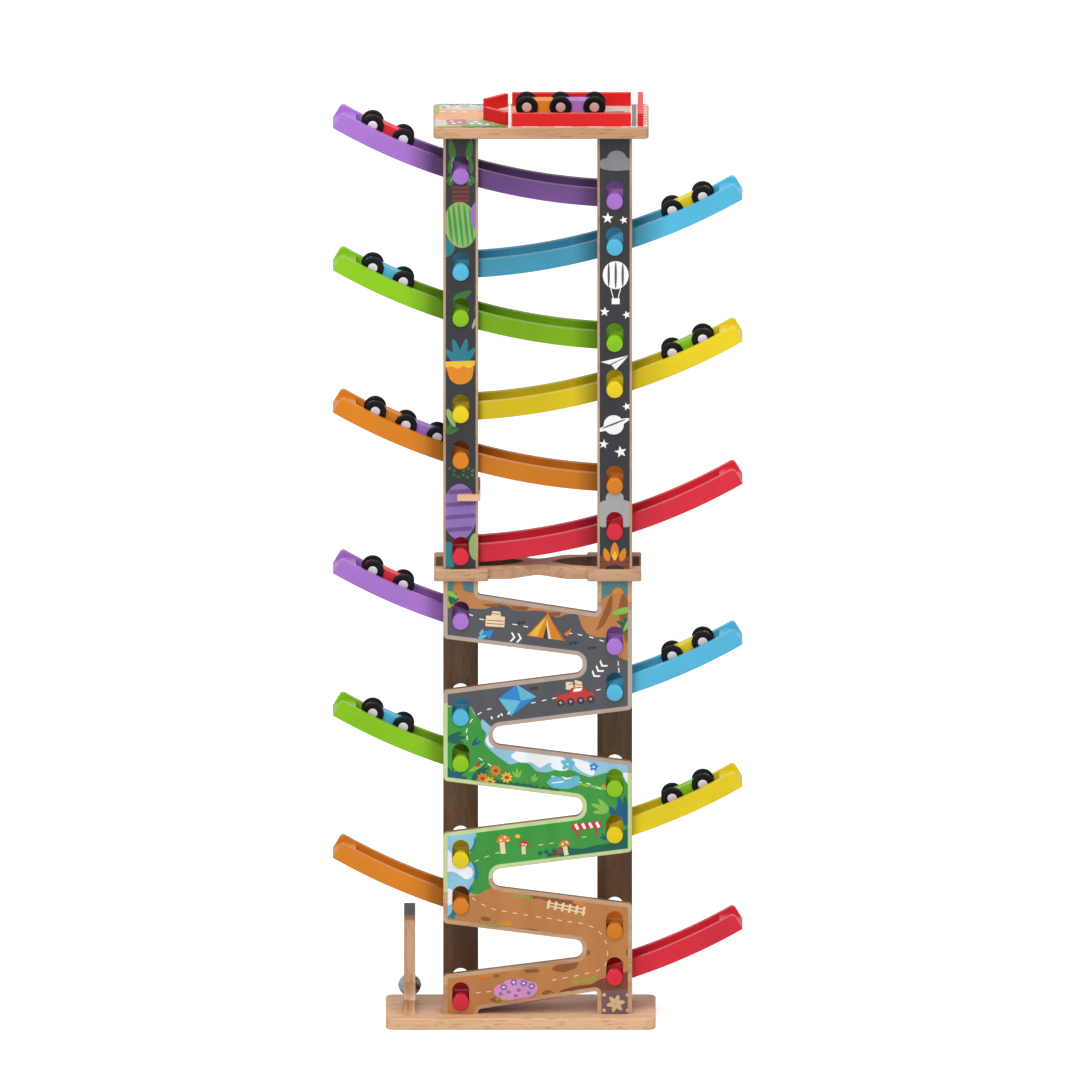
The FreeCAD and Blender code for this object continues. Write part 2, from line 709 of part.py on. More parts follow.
def post_clip():
    """A flat clip pushed between the two upper left posts, with a lip round each."""
    body = new_body("post_clip")
    sketch = sketch_on(body, "post_clip_outline", "XY_Plane")
    face = "(panel_gap / 2 - clip_gap)"
    back = "(panel_gap / 2 + panel_thick + clip_gap)"
    lip = "(panel_gap / 2 + panel_thick + clip_lip)"
    outline(sketch, [
        ("-clip_reach", f"-{lip}"), ("clip_neck", f"-{lip}"), ("clip_neck", lip),
        ("-clip_reach", lip), ("-clip_reach", back), ("clip_gap", back), ("clip_gap", face),
        ("-clip_reach", face), ("-clip_reach", f"-{face}"), ("clip_gap", f"-{face}"),
        ("clip_gap", f"-{back}"), ("-clip_reach", f"-{back}"),
    ])
    pad(body, sketch, "clip_thick")
    place(body, x="-(post_offset - post_width / 2)", z=f"{UPPER_FLOOR} + clip_rise")
    return body


# Cars

def wheelset(label, x, z):
    """Two wheels fixed on one axle, which turn in one piece about Y."""
    half = "car_width / 2"
    axle = prism(label + "_axle", AXLE_SIDES, "axle_radius", "car_width")
    front = prism(label + "_front", WHEEL_SIDES, "wheel_radius", "wheel_thick")
    rear = prism(label + "_rear", WHEEL_SIDES, "wheel_radius", "wheel_thick")
    for piece, start in ((axle, f"-{half}"), (front, f"-{half}"), (rear, f"{half} - wheel_thick")):
        place(piece, y=start, axis=X_AXIS, angle="-90")
    fused = doc.addObject("Part::MultiFuse", label)
    fused.Shapes = [axle, front, rear]
    fused.Refine = True
    fused.Label = label
    place(fused, x=x, z=z)
    return fused


def body_outline(sketch, left, right):
    """Side view of a car's block: its height is shared, and its four corners are cut off."""
    half = "body_half_height"
    cut = "body_chamfer"
    outline(sketch, [
        (left, f"-{half} + {cut}"), (f"{left} + {cut}", f"-{half}"), (f"{right} - {cut}", f"-{half}"),
        (right, f"-{half} + {cut}"), (right, f"{half} - {cut}"), (f"{right} - {cut}", half),
        (f"{left} + {cut}", half), (left, f"{half} - {cut}"),
    ])


def axle_hole(sketch, x):
    outline(sketch, flats(x, "0", "(axle_radius + axle_gap)", AXLE_SIDES))


def car_body(label, x, z, angle):
    """A block with two axle holes, its origin halfway between them."""
    body = new_body(label)
    end = "(wheelbase / 2 + body_nose)"
    sketch = sketch_on(body, label + "_side", "XZ_Plane")
    body_outline(sketch, f"-{end}", end)
    axle_hole(sketch, "-wheelbase / 2")
    axle_hole(sketch, "wheelbase / 2")
    pad(body, sketch, BODY_WIDTH, both_ways=True)
    place(body, x=x, z=z, axis=Y_AXIS, angle=angle)
    return body


def hinged_body(label, side, fork, x, z, angle):
    """Half of a long car: it reaches to one side of the middle axle, which is its origin."""
    body = new_body(label)
    half = "body_half_height"
    ends = [f"{-side} * {half}", f"{side} * (wheelbase + body_nose)"]
    sketch = sketch_on(body, label + "_side", "XZ_Plane")
    body_outline(sketch, *ends[::side])
    axle_hole(sketch, "0")
    axle_hole(sketch, f"{side} * wheelbase")
    pad(body, sketch, BODY_WIDTH, both_ways=True)
    hitch = sketch_on(body, label + "_hitch", "XY_Plane", f"-2 * {half}")
    near = f"{-side} * 2 * {half}"
    far = f"{side} * hitch_reach"
    tongue = "hitch_width / 2"
    if fork:
        rectangle(hitch, near, far, f"-{tongue} - hitch_gap", f"{tongue} + hitch_gap")
    else:
        edge = f"({BODY_WIDTH} / 2 + hitch_gap)"
        rectangle(hitch, near, far, tongue, edge)
        rectangle(hitch, near, far, f"-{edge}", f"-{tongue}")
    pocket(body, hitch, f"4 * {half}", reverse=True)
    place(body, x=x, z=z, axis=Y_AXIS, angle=angle)
    return body


def on_track(rank, floor, radius, angle):
    """Where a point of a car is: its radius from the track's arc centre and angle up the slope."""
    side = 1 if rank % 2 == 0 else -1
    x = f"{side} * (valley_offset - {radius} * sin({angle}))"
    z = f"{floor} + {FIRST_RISE} - {rank} * {TRACK_PITCH} + track_radius - {radius} * cos({angle})"
    return x, z


def small_car(name, rank, floor):
    """A car with two axles near the high end of its track, its nose down the slope."""
    side = 1 if rank % 2 == 0 else -1
    place_angle = f"asin(({CAR_REACH} + valley_offset) / {HUB_PATH})"
    half_step = f"asin(wheelbase / 2 / {HUB_PATH})"
    x, z = on_track(rank, floor, f"{HUB_PATH} * cos({half_step})", place_angle)
    pieces = [car_body(f"{name}_body", x, z, f"{side} * {place_angle}")]
    for end, sign in (("front", "-"), ("rear", "+")):
        x, z = on_track(rank, floor, HUB_PATH, f"({place_angle} {sign} {half_step})")
        pieces.append(wheelset(f"{name}_{end}_wheels", x, z))
    return pieces


def long_car(name, orange_side, x, z, orange_angle, purple_angle):
    """The two halves of a long car, joined tongue in fork on the middle axle, and that axle."""
    return [
        hinged_body(f"{name}_orange_body", orange_side, False, x, z, orange_angle),
        hinged_body(f"{name}_purple_body", -orange_side, True, x, z, purple_angle),
        wheelset(f"{name}_middle_wheels", x, z),
    ]


def track_train(name, rank, floor):
    """A long car near the high end of a track, its orange half up the slope."""
    side = 1 if rank % 2 == 0 else -1
    middle = f"asin(({TRAIN_REACH} + valley_offset) / {HUB_PATH})"
    step = f"(2 * asin(wheelbase / 2 / {HUB_PATH}))"
    x, z = on_track(rank, floor, HUB_PATH, middle)
    up_angle = f"{side} * ({middle} + {step} / 2)"
    down_angle = f"{side} * ({middle} - {step} / 2)"
    pieces = long_car(name, -side, x, z, up_angle, down_angle)
    for end, sign in (("orange", "+"), ("purple", "-")):
        x, z = on_track(rank, floor, HUB_PATH, f"({middle} {sign} {step})")
        pieces.append(wheelset(f"{name}_{end}_wheels", x, z))
    return pieces


def deck_train(name):
    """A long car parked on the deck, its orange half towards the funnel."""
    z = f"{DECK} + roll_gap + wheel_radius"
    x = "deck_train_x"
    pieces = long_car(name, -1, x, z, "0", "0")
    pieces.append(wheelset(f"{name}_orange_wheels", f"{x} - wheelbase", z))
    pieces.append(wheelset(f"{name}_purple_wheels", f"{x} + wheelbase", z))
    return pieces


# The whole tower

def tower():
    floors = {"upper": UPPER_FLOOR, "lower": "base_thick"}
    pieces = [base_board(), lower_front_panel(), post_pair("lower_rear_posts", 1, floors["lower"])]
    pieces += [middle_plate(), post_pair("upper_front_posts", -1, floors["upper"])]
    pieces += [post_pair("upper_rear_posts", 1, floors["upper"]), top_board()]
    pieces += [side_rails(), funnel_rails(), end_stop(), bell_board(), bell(), post_clip()]
    for tier in TIERS:
        for rank, colour in enumerate(COLOURS):
            pieces.append(track(f"{tier}_{colour}_track", rank, floors[tier]))
            if colour in CARS:
                pieces += small_car(f"{tier}_{CARS[colour]}_car", rank, floors[tier])
    pieces.append(track_pegs(floors.values()))
    pieces += track_train("track_train", COLOURS.index("orange"), floors["upper"])
    pieces += deck_train("deck_train")
    return pieces


nodes = tower()
doc.recompute()

for item in doc.Objects:
    if "Invalid" in item.State or "Error" in item.State:
        raise RuntimeError(f"{item.Label} failed: {item.State}")

os.makedirs("parts", exist_ok=True)
for node in nodes:
    shape = node.Shape
    if shape.isNull() or not shape.isValid() or shape.Volume <= 0:
        raise RuntimeError(f"{node.Label} has no sound solid")
    shape.exportStep(f"parts/{node.Label}.step")
    print(node.Label, len(shape.Solids), round(shape.Volume))
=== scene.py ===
# Wooden toy car ramp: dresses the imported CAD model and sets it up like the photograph
#
# Meshes are in metres, in the frame of the CAD: +X right, +Y to the back, +Z up. Sizes in this file are
# millimetres, apart from the floor, the lamps and the camera, and MM turns them to metres.

import json
import math

import bmesh
import bpy
from mathutils import Matrix, Vector


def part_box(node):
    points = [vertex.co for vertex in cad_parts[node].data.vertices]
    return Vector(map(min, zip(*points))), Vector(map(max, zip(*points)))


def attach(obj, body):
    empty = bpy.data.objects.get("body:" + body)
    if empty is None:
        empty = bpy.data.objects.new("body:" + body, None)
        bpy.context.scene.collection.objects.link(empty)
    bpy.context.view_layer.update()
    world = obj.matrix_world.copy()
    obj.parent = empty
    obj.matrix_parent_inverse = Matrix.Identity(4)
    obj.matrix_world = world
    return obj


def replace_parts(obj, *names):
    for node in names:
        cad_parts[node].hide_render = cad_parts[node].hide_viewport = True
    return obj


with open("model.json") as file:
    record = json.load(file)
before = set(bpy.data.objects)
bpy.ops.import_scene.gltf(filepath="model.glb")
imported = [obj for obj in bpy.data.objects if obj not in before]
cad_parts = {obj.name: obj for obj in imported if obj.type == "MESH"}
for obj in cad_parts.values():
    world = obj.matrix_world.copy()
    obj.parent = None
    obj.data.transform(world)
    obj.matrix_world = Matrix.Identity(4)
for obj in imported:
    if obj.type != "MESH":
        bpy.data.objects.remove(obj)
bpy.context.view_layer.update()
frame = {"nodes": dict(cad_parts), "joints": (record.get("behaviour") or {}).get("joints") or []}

MM = 0.001

# Boards, tiers and tracks, as in the CAD
BOARD = 12.0
TIER = 449.0
LOWER_FLOOR = BOARD
UPPER_FLOOR = LOWER_FLOOR + TIER + BOARD
DECK = UPPER_FLOOR + TIER + BOARD
HEAD_ROOM = 77.5
FIRST_RISE = TIER - HEAD_ROOM
PITCH = 73.66
TRACK_RADIUS = 593.0
TRACK_WIDTH = 42.0
VALLEY = 96.2
POST_X = 77.0
POST_WIDTH = 35.0
PANEL_GAP = 48.0
PANEL_THICK = 6.0
FRONT = -(PANEL_GAP / 2 + PANEL_THICK)

# Pegs and the slots that they drop into
PEG_RADIUS = 8.25
PEG_RISE = 8.5
PEG_PROUD = 2.3
PEG_ROUND = 0.9
SLOT_RADIUS = PEG_RADIUS + 0.3
SLOT_RISE = 12.5

# The zigzag panel: notches from alternate sides, a window at the head and a door at the foot
NOTCH_SINK = 9.6
NOTCH_REACH = 44.7
NOTCH_MOUTH = 53.6
NOTCH_END = 17.6
NOTCH_ROUND = 6.9
MOUTH_ROUND = 4.2
FRAME_ROUND = 3.0
WINDOW_LEFT = 15.0
WINDOW_RIGHT = 34.0
DOOR_LEFT = 5.0
DOOR_RIGHT = 24.0
SAWN_ROUND = 0.45

# Ink: how far a layer stands off the wood, and how much thicker each layer is than the last
INK_LIFT = 0.01
INK_COAT = 0.02
MARGIN_RIM = 0.6
PRINT_RIM = 4.4
POST_RIM = 2.5

PAINTS = {
    "purple": "A874CC", "blue": "56B8DC", "green": "8AC41F",
    "yellow": "E8CE22", "orange": "DA8224", "red": "DC3042",
}
TRACKS = ("purple", "blue", "green", "yellow", "orange", "red")
CARS = ("red", "yellow", "blue", "green")
TIERS = (("lower", LOWER_FLOOR), ("upper", UPPER_FLOOR))


# Finishes

def linear(code):
    """A hex colour as the linear numbers that shaders take."""
    parts = [int(code[place:place + 2], 16) / 255 for place in (0, 2, 4)]
    return tuple(c / 12.92 if c <= 0.04045 else ((c + 0.055) / 1.055) ** 2.4 for c in parts) + (1.0,)


def add(tree, kind, inputs=None, **settings):
    """A node of this kind, its inputs given as plain values or as sockets to join."""
    made = tree.nodes.new("ShaderNode" + kind)
    for name, value in settings.items():
        setattr(made, name, value)
    for name, value in (inputs or {}).items():
        if isinstance(value, bpy.types.NodeSocket):
            tree.links.new(value, made.inputs[name])
        else:
            made.inputs[name].default_value = value
    return made


def ramp(tree, factor, stops):
    """Colours along a factor, as (place, hex) stops."""
    made = add(tree, "ValToRGB", {"Fac": factor})
    band = made.color_ramp
    while len(band.elements) < len(stops):
        band.elements.new(0.5)
    for element, (place, code) in zip(band.elements, stops):
        element.position = place
        element.color = linear(code)
    return made.outputs["Color"]


def graded(tree, length, low, high, stops):
    """Colours along a length from low to high, as (millimetres, hex) stops."""
    share = add(tree, "MapRange", {"Value": length, "From Min": low * MM, "From Max": high * MM})
    shares = [((place - low) / (high - low), code) for place, code in stops]
    return ramp(tree, share.outputs["Result"], shares)


def levels(tree, factor, low, high):
    """A factor from 0 to 1 spread from low to high."""
    made = add(tree, "MapRange", {"Value": factor, "To Min": low, "To Max": high})
    return made.outputs["Result"]


def mixed(tree, first, second, share=1.0, way="MULTIPLY"):
    """Two colours multiplied or mixed."""
    made = add(tree, "MixRGB", {"Fac": share, "Color1": first, "Color2": second}, blend_type=way)
    return made.outputs["Color"]


def noise(tree, place, sizes, detail=3.0, distortion=0.0):
    """Noise on the object's own coordinates, its clouds so many millimetres long on X, Y and Z."""
    spread = add(tree, "Mapping", {"Vector": place, "Scale": [1 / (size * MM) for size in sizes]})
    made = add(tree, "TexNoise", {"Vector": spread.outputs["Vector"], "Scale": 1.0, "Detail": detail,
                                  "Distortion": distortion})
    return made.outputs["Fac"]


def new_finish(name):
    """An empty material: its node tree, its surface shader and the object's coordinates."""
    finish = bpy.data.materials.new(name)
    finish.use_nodes = True
    tree = finish.node_tree
    tree.nodes.clear()
    shader = add(tree, "BsdfPrincipled")
    add(tree, "OutputMaterial", {"Surface": shader.outputs["BSDF"]})
    return finish, tree, shader, add(tree, "TexCoord").outputs["Object"]


def surface(tree, shader, colour, roughness, relief, strength, depth, gloss=None):
    """Join a colour, a roughness and a relief to a shader, with the relief's depth in millimetres."""
    bump = add(tree, "Bump", {"Height": relief, "Strength": strength, "Distance": depth * MM})
    tree.links.new(colour, shader.inputs["Base Color"])
    tree.links.new(roughness, shader.inputs["Roughness"])
    tree.links.new(bump.outputs["Normal"], shader.inputs["Normal"])
    if gloss is not None:
        shader.inputs["Specular IOR Level"].default_value = gloss


def beech(name, pale, mid, deep, along, painted_crown_shade=None):
    """Clear satin lacquer on beech: growth bands 12 mm wide that run along the board, and dark ray flecks.

    Real flecks are under 1 mm wide and 5 mm long. They are drawn two to three times as large, to show.
    """
    finish, tree, shader, place = new_finish(name)
    band_size, fleck_size = [12.35] * 3, [1.754] * 3
    band_size["XYZ".index(along)] = 158.7
    fleck_size["XYZ".index(along)] = 15.04
    bands = noise(tree, place, band_size, 4.0, 0.6)
    flecks = noise(tree, place, fleck_size, 2.0)
    wood = ramp(tree, bands, ((0.30, deep), (0.46, mid), (0.62, pale), (0.80, mid)))
    colour = mixed(tree, wood, ramp(tree, flecks, ((0.34, "B9A08C"), (0.42, "FFFFFF"))), 0.5)
    if painted_crown_shade:
        # painted shade: the crown is darkened where the track above shades it, all but its front edge
        low, high, painted_shade = painted_crown_shade
        parts = add(tree, "SeparateXYZ", {"Vector": place}).outputs
        lean = add(tree, "Math", {0: parts["Y"], 1: 0.25, 2: parts["Z"]}, operation="MULTIPLY_ADD")
        rise = add(tree, "MapRange", {"Value": lean.outputs["Value"], "From Min": low * MM,
                                      "From Max": high * MM})
        colour = mixed(tree, colour, linear(painted_shade), rise.outputs["Result"], "MIX")
    surface(tree, shader, colour, levels(tree, bands, 0.40, 0.56), flecks, 0.12, 0.2, 0.30)
    return finish


def painted_track_shade(tree, place, colour):
    """Painted shade on the tracks between the posts: darkest right under the deck, and close beside each
    post.
    """
    parts = add(tree, "SeparateXYZ", {"Vector": place}).outputs
    plain, dusky = "000000", "FFFFFF"
    half = ((59.2, dusky), (63.2, plain), (91.2, plain), (95.2, dusky), (104, dusky), (132, plain))
    between = graded(tree, parts["X"], -200, 200, [(-x, code) for x, code in reversed(half)] + list(half))
    painted_shade = graded(tree, parts["Z"], UPPER_FLOOR, UPPER_FLOOR + TIER,
                  [(UPPER_FLOOR + rise, code) for rise, code in
                   ((0, "FFFFFF"), (27, "F3F3F3"), (175, "E9E9E9"), (247, "DFDFDF"), (328, "CFCFCF"),
                    (395, "A8A8A8"))])
    shade = mixed(tree, (1, 1, 1, 1), painted_shade, between, "MIX")
    # painted shadow on the left of each post
    beside = graded(tree, parts["X"], -200, 200,
                    ((-128, "FFFFFF"), (-114, "F4F4F4"), (-104, "CDCDCD"), (-58, "CDCDCD"),
                     (-55.2, "F8F8F8"), (36, "FFFFFF"), (52, "CDCDCD"), (60, "C0C0C0"), (64, "FFFFFF")))
    return mixed(tree, mixed(tree, colour, shade), beside)


def paint(name, code, rough=0.36, cloud="F2F2F2", painted_shade=False):
    """Satin paint sprayed on sanded wood: even colour, a faint cloudiness and an orange peel of 1 mm."""
    finish, tree, shader, place = new_finish(name)
    broad = ramp(tree, noise(tree, place, [71.43] * 3), ((0.36, cloud), (0.62, "FFFFFF")))
    colour = mixed(tree, linear(code), broad)
    # painted shade: the tracks are darkened under the deck and beside the posts
    if painted_shade:
        colour = painted_track_shade(tree, place, colour)
    peel = noise(tree, place, [1.111] * 3, 2.0)
    surface(tree, shader, colour, levels(tree, peel, rough - 0.06, rough + 0.06), peel, 0.06, 0.1, 0.14)
    return finish


def ink(name, code):
    """Printed colour under clear varnish: upright streaks of the wood's grain show faintly through it."""
    finish, tree, shader, place = new_finish(name)
    fibre = noise(tree, place, (16.67, 16.67, 104.2))
    colour = mixed(tree, linear(code), ramp(tree, fibre, ((0.38, "F4F4F4"), (0.60, "FFFFFF"))))
    surface(tree, shader, colour, levels(tree, fibre, 0.36, 0.50), fibre, 0.05, 0.1, 0.20)
    return finish


def metal(name, code, rough, upright=1.429):
    """Metal with turning marks that break up its shine, drawn coarser than the real ones, to show."""
    finish, tree, shader, place = new_finish(name)
    marks = noise(tree, place, (1.429, 1.429, upright), 2.0)
    colour = mixed(tree, linear(code), ramp(tree, marks, ((0.30, "E4E4E4"), (0.70, "FFFFFF"))))
    shader.inputs["Metallic"].default_value = 1.0
    surface(tree, shader, colour, levels(tree, marks, rough - 0.05, rough + 0.08), marks, 0.08, 0.05)
    return finish


BEECH_BASE = beech("lacquered_beech_base", "E2B890", "D9AC84", "CB9A72", "X")
BEECH_DECKS = beech("lacquered_beech_decks", "C8A07C", "BE9472", "AE8262", "X")
BEECH_POSTS = beech("lacquered_beech_posts", "BE9E80", "B39072", "A38060", "Z")
# the bell board's crown carries painted shade from the track above
BEECH_BELL = beech("lacquered_beech_bell_board", "CFA684", "BE9472", "A97E5E", "Z",
                   (96.5, 108.5, "3A281C"))
# painted shade: beech darkened to stand for the shade inside the tower, on the rear posts and in the plate's
# openings
BEECH_DARKENED_FOR_SHADE = beech("beech_darkened_as_painted_shade", "765A42", "6A4E38", "5B4230", "Z")
PAINT = {name: paint(f"satin_{name}_paint", code) for name, code in PAINTS.items()}
# the tracks' paint carries painted shade under the deck and beside the posts
TRACK_PAINT_SHADED = {name: paint(f"satin_{name}_track", code, painted_shade=True) for name, code in PAINTS.items()}
PEN_RED = paint("bright_red_rail_paint", "DA2222", 0.28)
TYRE = paint("satin_black_wheel", "141415", 0.40, "D8D8D8")
RIVET = paint("pale_rivet_head", "E2DAE2", 0.22)
# rivet heads tinted rosy as a painted reflection of the deck print around them
RIVET_PAINTED_REFLECTION = paint("rosy_rivet_head", "CDA4A2", 0.22)
BURNT = beech("laser_cut_edge", "7C5F49", "6E523E", "5E4533", "X")
STEEL = metal("steel_pin", "A9ABAE", 0.28)
NICKEL = metal("nickelled_bell", "A4AAB0", 0.24, 7.143)
INKS = {name: ink(f"print_{name}", code) for name, code in {
    "charcoal": "55565B", "slate": "36373B", "clay": "BC7E49", "umber": "8F5730", "rust": "7E4530",
    "grass": "3F9741", "pine": "1D6350", "navy": "1E5A86", "lime": "84BC4C", "moss": "8FA23E",
    # the dark teal sky ink is darkened further as painted shade from the middle plate
    "mint": "BFE0A0", "sprout": "C3D79B", "fog": "B5A298", "teal": "2B7A88", "shaded_teal_sky": "517E82",
    "sky": "90C4DC", "cloud": "EEF2F5", "cream": "EDD3AE", "sand": "DDBB94", "white": "F4F4F2",
    "amber": "DC8426", "sun": "E9B93A", "scarlet": "C83A38", "azure": "2F86C8", "aqua": "66B7D0",
    "lilac": "8F6FB4", "plum": "6E5290", "rose": "D893C4", "stone": "A3A2A3", "ash": "868588",
    "mauve": "7A5C60", "peach": "DFA680", "fern": "3E6E34", "blush": "E6C0B2", "brick": "7A3A3C",
    "leafy": "8DB06A", "haze": "CFC8BC", "mist": "9DB0B4", "brick_rose": "B87E7C",
}.items()}


# Shapes

def smooth(piece, limit=32):
    """Shade curves smooth and leave the edges over this many degrees sharp."""
    piece.data.shade_smooth()
    piece.data.set_sharp_from_angle(angle=math.radians(limit))


def show(name, bm, finishes, body="tower", limit=32):
    """A finished piece from its mesh: it rides on a body and its curves are shaded smooth."""
    mesh = bpy.data.meshes.new(name)
    bm.to_mesh(mesh)
    bm.free()
    piece = bpy.data.objects.new(name, mesh)
    bpy.context.scene.collection.objects.link(piece)
    for finish in finishes:
        mesh.materials.append(finish)
    smooth(piece, limit)
    if body:
        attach(piece, body)
    return piece


def refinish(piece, *finishes):
    """Give a piece these finishes and no others."""
    piece.data.materials.clear()
    for finish in finishes:
        piece.data.materials.append(finish)


def settle(piece):
    """Make a piece's modifiers part of its mesh."""
    seen = piece.evaluated_get(bpy.context.evaluated_depsgraph_get())
    mesh = bpy.data.meshes.new_from_object(seen)
    piece.modifiers.clear()
    piece.data = mesh


def level_shading(piece):
    """Let the large faces rule the shading, so that flat faces look flat beside their rounded edges."""
    work = piece.modifiers.new("level_shading", "WEIGHTED_NORMAL")
    work.keep_sharp = True
    settle(piece)


def combine(piece, other, operation):
    """Cut a piece with another one, or keep only what the two share."""
    work = piece.modifiers.new("combine", "BOOLEAN")
    work.operation = operation
    work.solver = "EXACT"
    work.use_self = True
    work.object = other
    settle(piece)


def cut(piece, tool):
    """Cut a piece with a tool that is used up."""
    combine(piece, tool, "DIFFERENCE")
    bpy.data.objects.remove(tool)


def sharp_edges(bm, limit):
    """The edges where two faces meet at more than this many degrees."""
    return [edge for edge in bm.edges
            if len(edge.link_faces) == 2 and edge.calc_face_angle(0.0) > math.radians(limit)]


def rounded(bm, parts, radius, steps, affect="EDGES"):
    """Round edges or corners over."""
    return bmesh.ops.bevel(bm, geom=parts, offset=radius * MM, offset_type="OFFSET", segments=steps,
                           profile=0.5, affect=affect, clamp_overlap=True, material=-1)


def draw_out(bm, vec):
    """Draw every flat face out into a block along a vector in metres."""
    drawn = bmesh.ops.extrude_face_region(bm, geom=bm.faces[:])["geom"]
    bmesh.ops.translate(bm, verts=[part for part in drawn if isinstance(part, bmesh.types.BMVert)], vec=vec)
    bmesh.ops.recalc_face_normals(bm, faces=bm.faces)


def drawing(draw, *settings):
    """A new mesh that holds one drawing."""
    bm = bmesh.new()
    draw(bm, *settings)
    return bm


def eased(node, radius, finish, steps=2, limit=30, body="tower"):
    """A merged copy of a CAD piece with its edges rounded over, shown in the piece's stead."""
    bm = bmesh.new()
    bm.from_mesh(frame["nodes"][node].data)
    bmesh.ops.remove_doubles(bm, verts=bm.verts, dist=2e-6)
    bmesh.ops.dissolve_limit(bm, angle_limit=math.radians(0.5), verts=bm.verts, edges=bm.edges)
    rounded(bm, sharp_edges(bm, limit), radius, steps)
    piece = show(node + "_finished", bm, [finish], body)
    level_shading(piece)
    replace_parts(piece, node)
    return piece


# Slots and pegs

def peg_height(rank, column):
    """Height of a track's pegs above the tier's floor, on the left (-1) or the right (1) posts."""
    high_side = -1 if rank % 2 == 0 else 1
    reach = VALLEY + (POST_X if column == high_side else -POST_X)
    return FIRST_RISE - rank * PITCH + TRACK_RADIUS - math.sqrt((TRACK_RADIUS - PEG_RISE) ** 2 - reach ** 2)


def slot_cutter(floor, face):
    """Upright round-ended bars that cut the slots of a tier's pegs through its panel or its posts."""
    through = 20.0
    bm = bmesh.new()
    for column in (-1, 1):
        for rank in range(len(TRACKS)):
            bar = bmesh.ops.create_circle(bm, cap_ends=True, segments=40, radius=SLOT_RADIUS * MM)["verts"]
            bmesh.ops.rotate(bm, verts=bar, matrix=Matrix.Rotation(math.pi / 2, 3, "X"))
            upper = [vert for vert in bar if vert.co.z > 1e-6]
            bmesh.ops.translate(bm, verts=upper, vec=(0, 0, SLOT_RISE * MM))
            place = Vector((column * POST_X, face - through / 2, floor + peg_height(rank, column)))
            bmesh.ops.translate(bm, verts=bar, vec=place * MM)
    draw_out(bm, (0, through * MM, 0))
    return show("slot_cutter", bm, [], None)


def peg_buttons(colour, rank):
    """The glued-on buttons of the two tracks of one colour, four for each, with rounded rims."""
    bm = bmesh.new()
    wall = TRACK_WIDTH / 2
    length = PANEL_GAP / 2 + PANEL_THICK + PEG_PROUD - wall
    for _, floor in TIERS:
        for column in (-1, 1):
            height = floor + peg_height(rank, column)
            for side in (-1, 1):
                button = bmesh.ops.create_cone(bm, cap_ends=True, segments=40, radius1=PEG_RADIUS * MM,
                                               radius2=PEG_RADIUS * MM, depth=length * MM)["verts"]
                rim = [edge for edge in {edge for vert in button for edge in vert.link_edges}
                       if all(vert.co.z > 0 for vert in edge.verts)]
                turned = rounded(bm, rim, PEG_ROUND, 3)["verts"]
                verts = list({vert for vert in button + turned if vert.is_valid})
                bmesh.ops.rotate(bm, verts=verts, matrix=Matrix.Rotation(-side * math.pi / 2, 3, "X"))
                place = Vector((column * POST_X, side * (wall + length / 2), height))
                bmesh.ops.translate(bm, verts=verts, vec=place * MM)
    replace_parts(show(f"{colour}_pegs", bm, [PAINT[colour]]), "track_pegs")


# Flat printed shapes, drawn on a face whose outward side is +Z

def flat_matrix(u, v, turn, wide=1.0, high=1.0):
    """Move, turn and stretch a flat shape on its face."""
    return (Matrix.Translation((u * MM, v * MM, 0)) @ Matrix.Rotation(math.radians(turn), 4, "Z")
            @ Matrix.Diagonal((wide, high, 1, 1)))


def disc(bm, u, v, wide, high=None, turn=0.0):
    """An ellipse by its half widths."""
    bmesh.ops.create_circle(bm, cap_ends=True, segments=28, radius=MM,
                            matrix=flat_matrix(u, v, turn, wide, high or wide))


def strip(bm, u, v, long, wide, turn=0.0):
    """A straight bar about its middle."""
    bmesh.ops.create_grid(bm, x_segments=1, y_segments=1, size=MM / 2,
                          matrix=flat_matrix(u, v, turn, long, wide))


def patch(bm, corners, soft=0.0, at=(0, 0), turn=0.0):
    """A shape from a few corners, each rounded by the same amount."""
    verts = [bm.verts.new((u * MM, v * MM, 0)) for u, v in corners]
    bm.faces.new(verts)
    bmesh.ops.transform(bm, matrix=flat_matrix(*at, turn), verts=verts)
    if soft:
        rounded(bm, verts, soft, 5, "VERTICES")


def leaf(bm, u, v, long, wide, turn):
    """A pointed leaf that grows from one end."""
    half = wide / 2
    patch(bm, ((0, 0), (long * 0.28, -half), (long * 0.7, -half * 0.8), (long, 0),
               (long * 0.7, half * 0.8), (long * 0.28, half)), long * 0.14, (u, v), turn)


def frond(bm, u, v, long, turn, count, spread):
    """A fan of leaves from one root."""
    for number in range(count):
        lean = (number - (count - 1) / 2) * spread
        leaf(bm, u, v, long * (1 - abs(lean) / 160), long * 0.24, turn + lean)


def dashes(bm, start, end, count, wide):
    """A broken line from one point to another, half of it open."""
    span = Vector(end) - Vector(start)
    turn = math.degrees(math.atan2(span.y, span.x))
    for number in range(count):
        middle = Vector(start) + span * (number + 0.5) / count
        strip(bm, middle.x, middle.y, span.length / count / 2, wide, turn)


def chevrons(bm, u, v, turn, count, pitch):
    """Arrow heads in a row, as on a road."""
    for number in range(count):
        place = Vector((u, v)) + Matrix.Rotation(math.radians(turn), 2) @ Vector((number * pitch, 0))
        patch(bm, ((0, -4.62), (2.1, -4.62), (5.25, 0), (2.1, 4.62), (0, 4.62), (3.15, 0)), 0, place, turn)


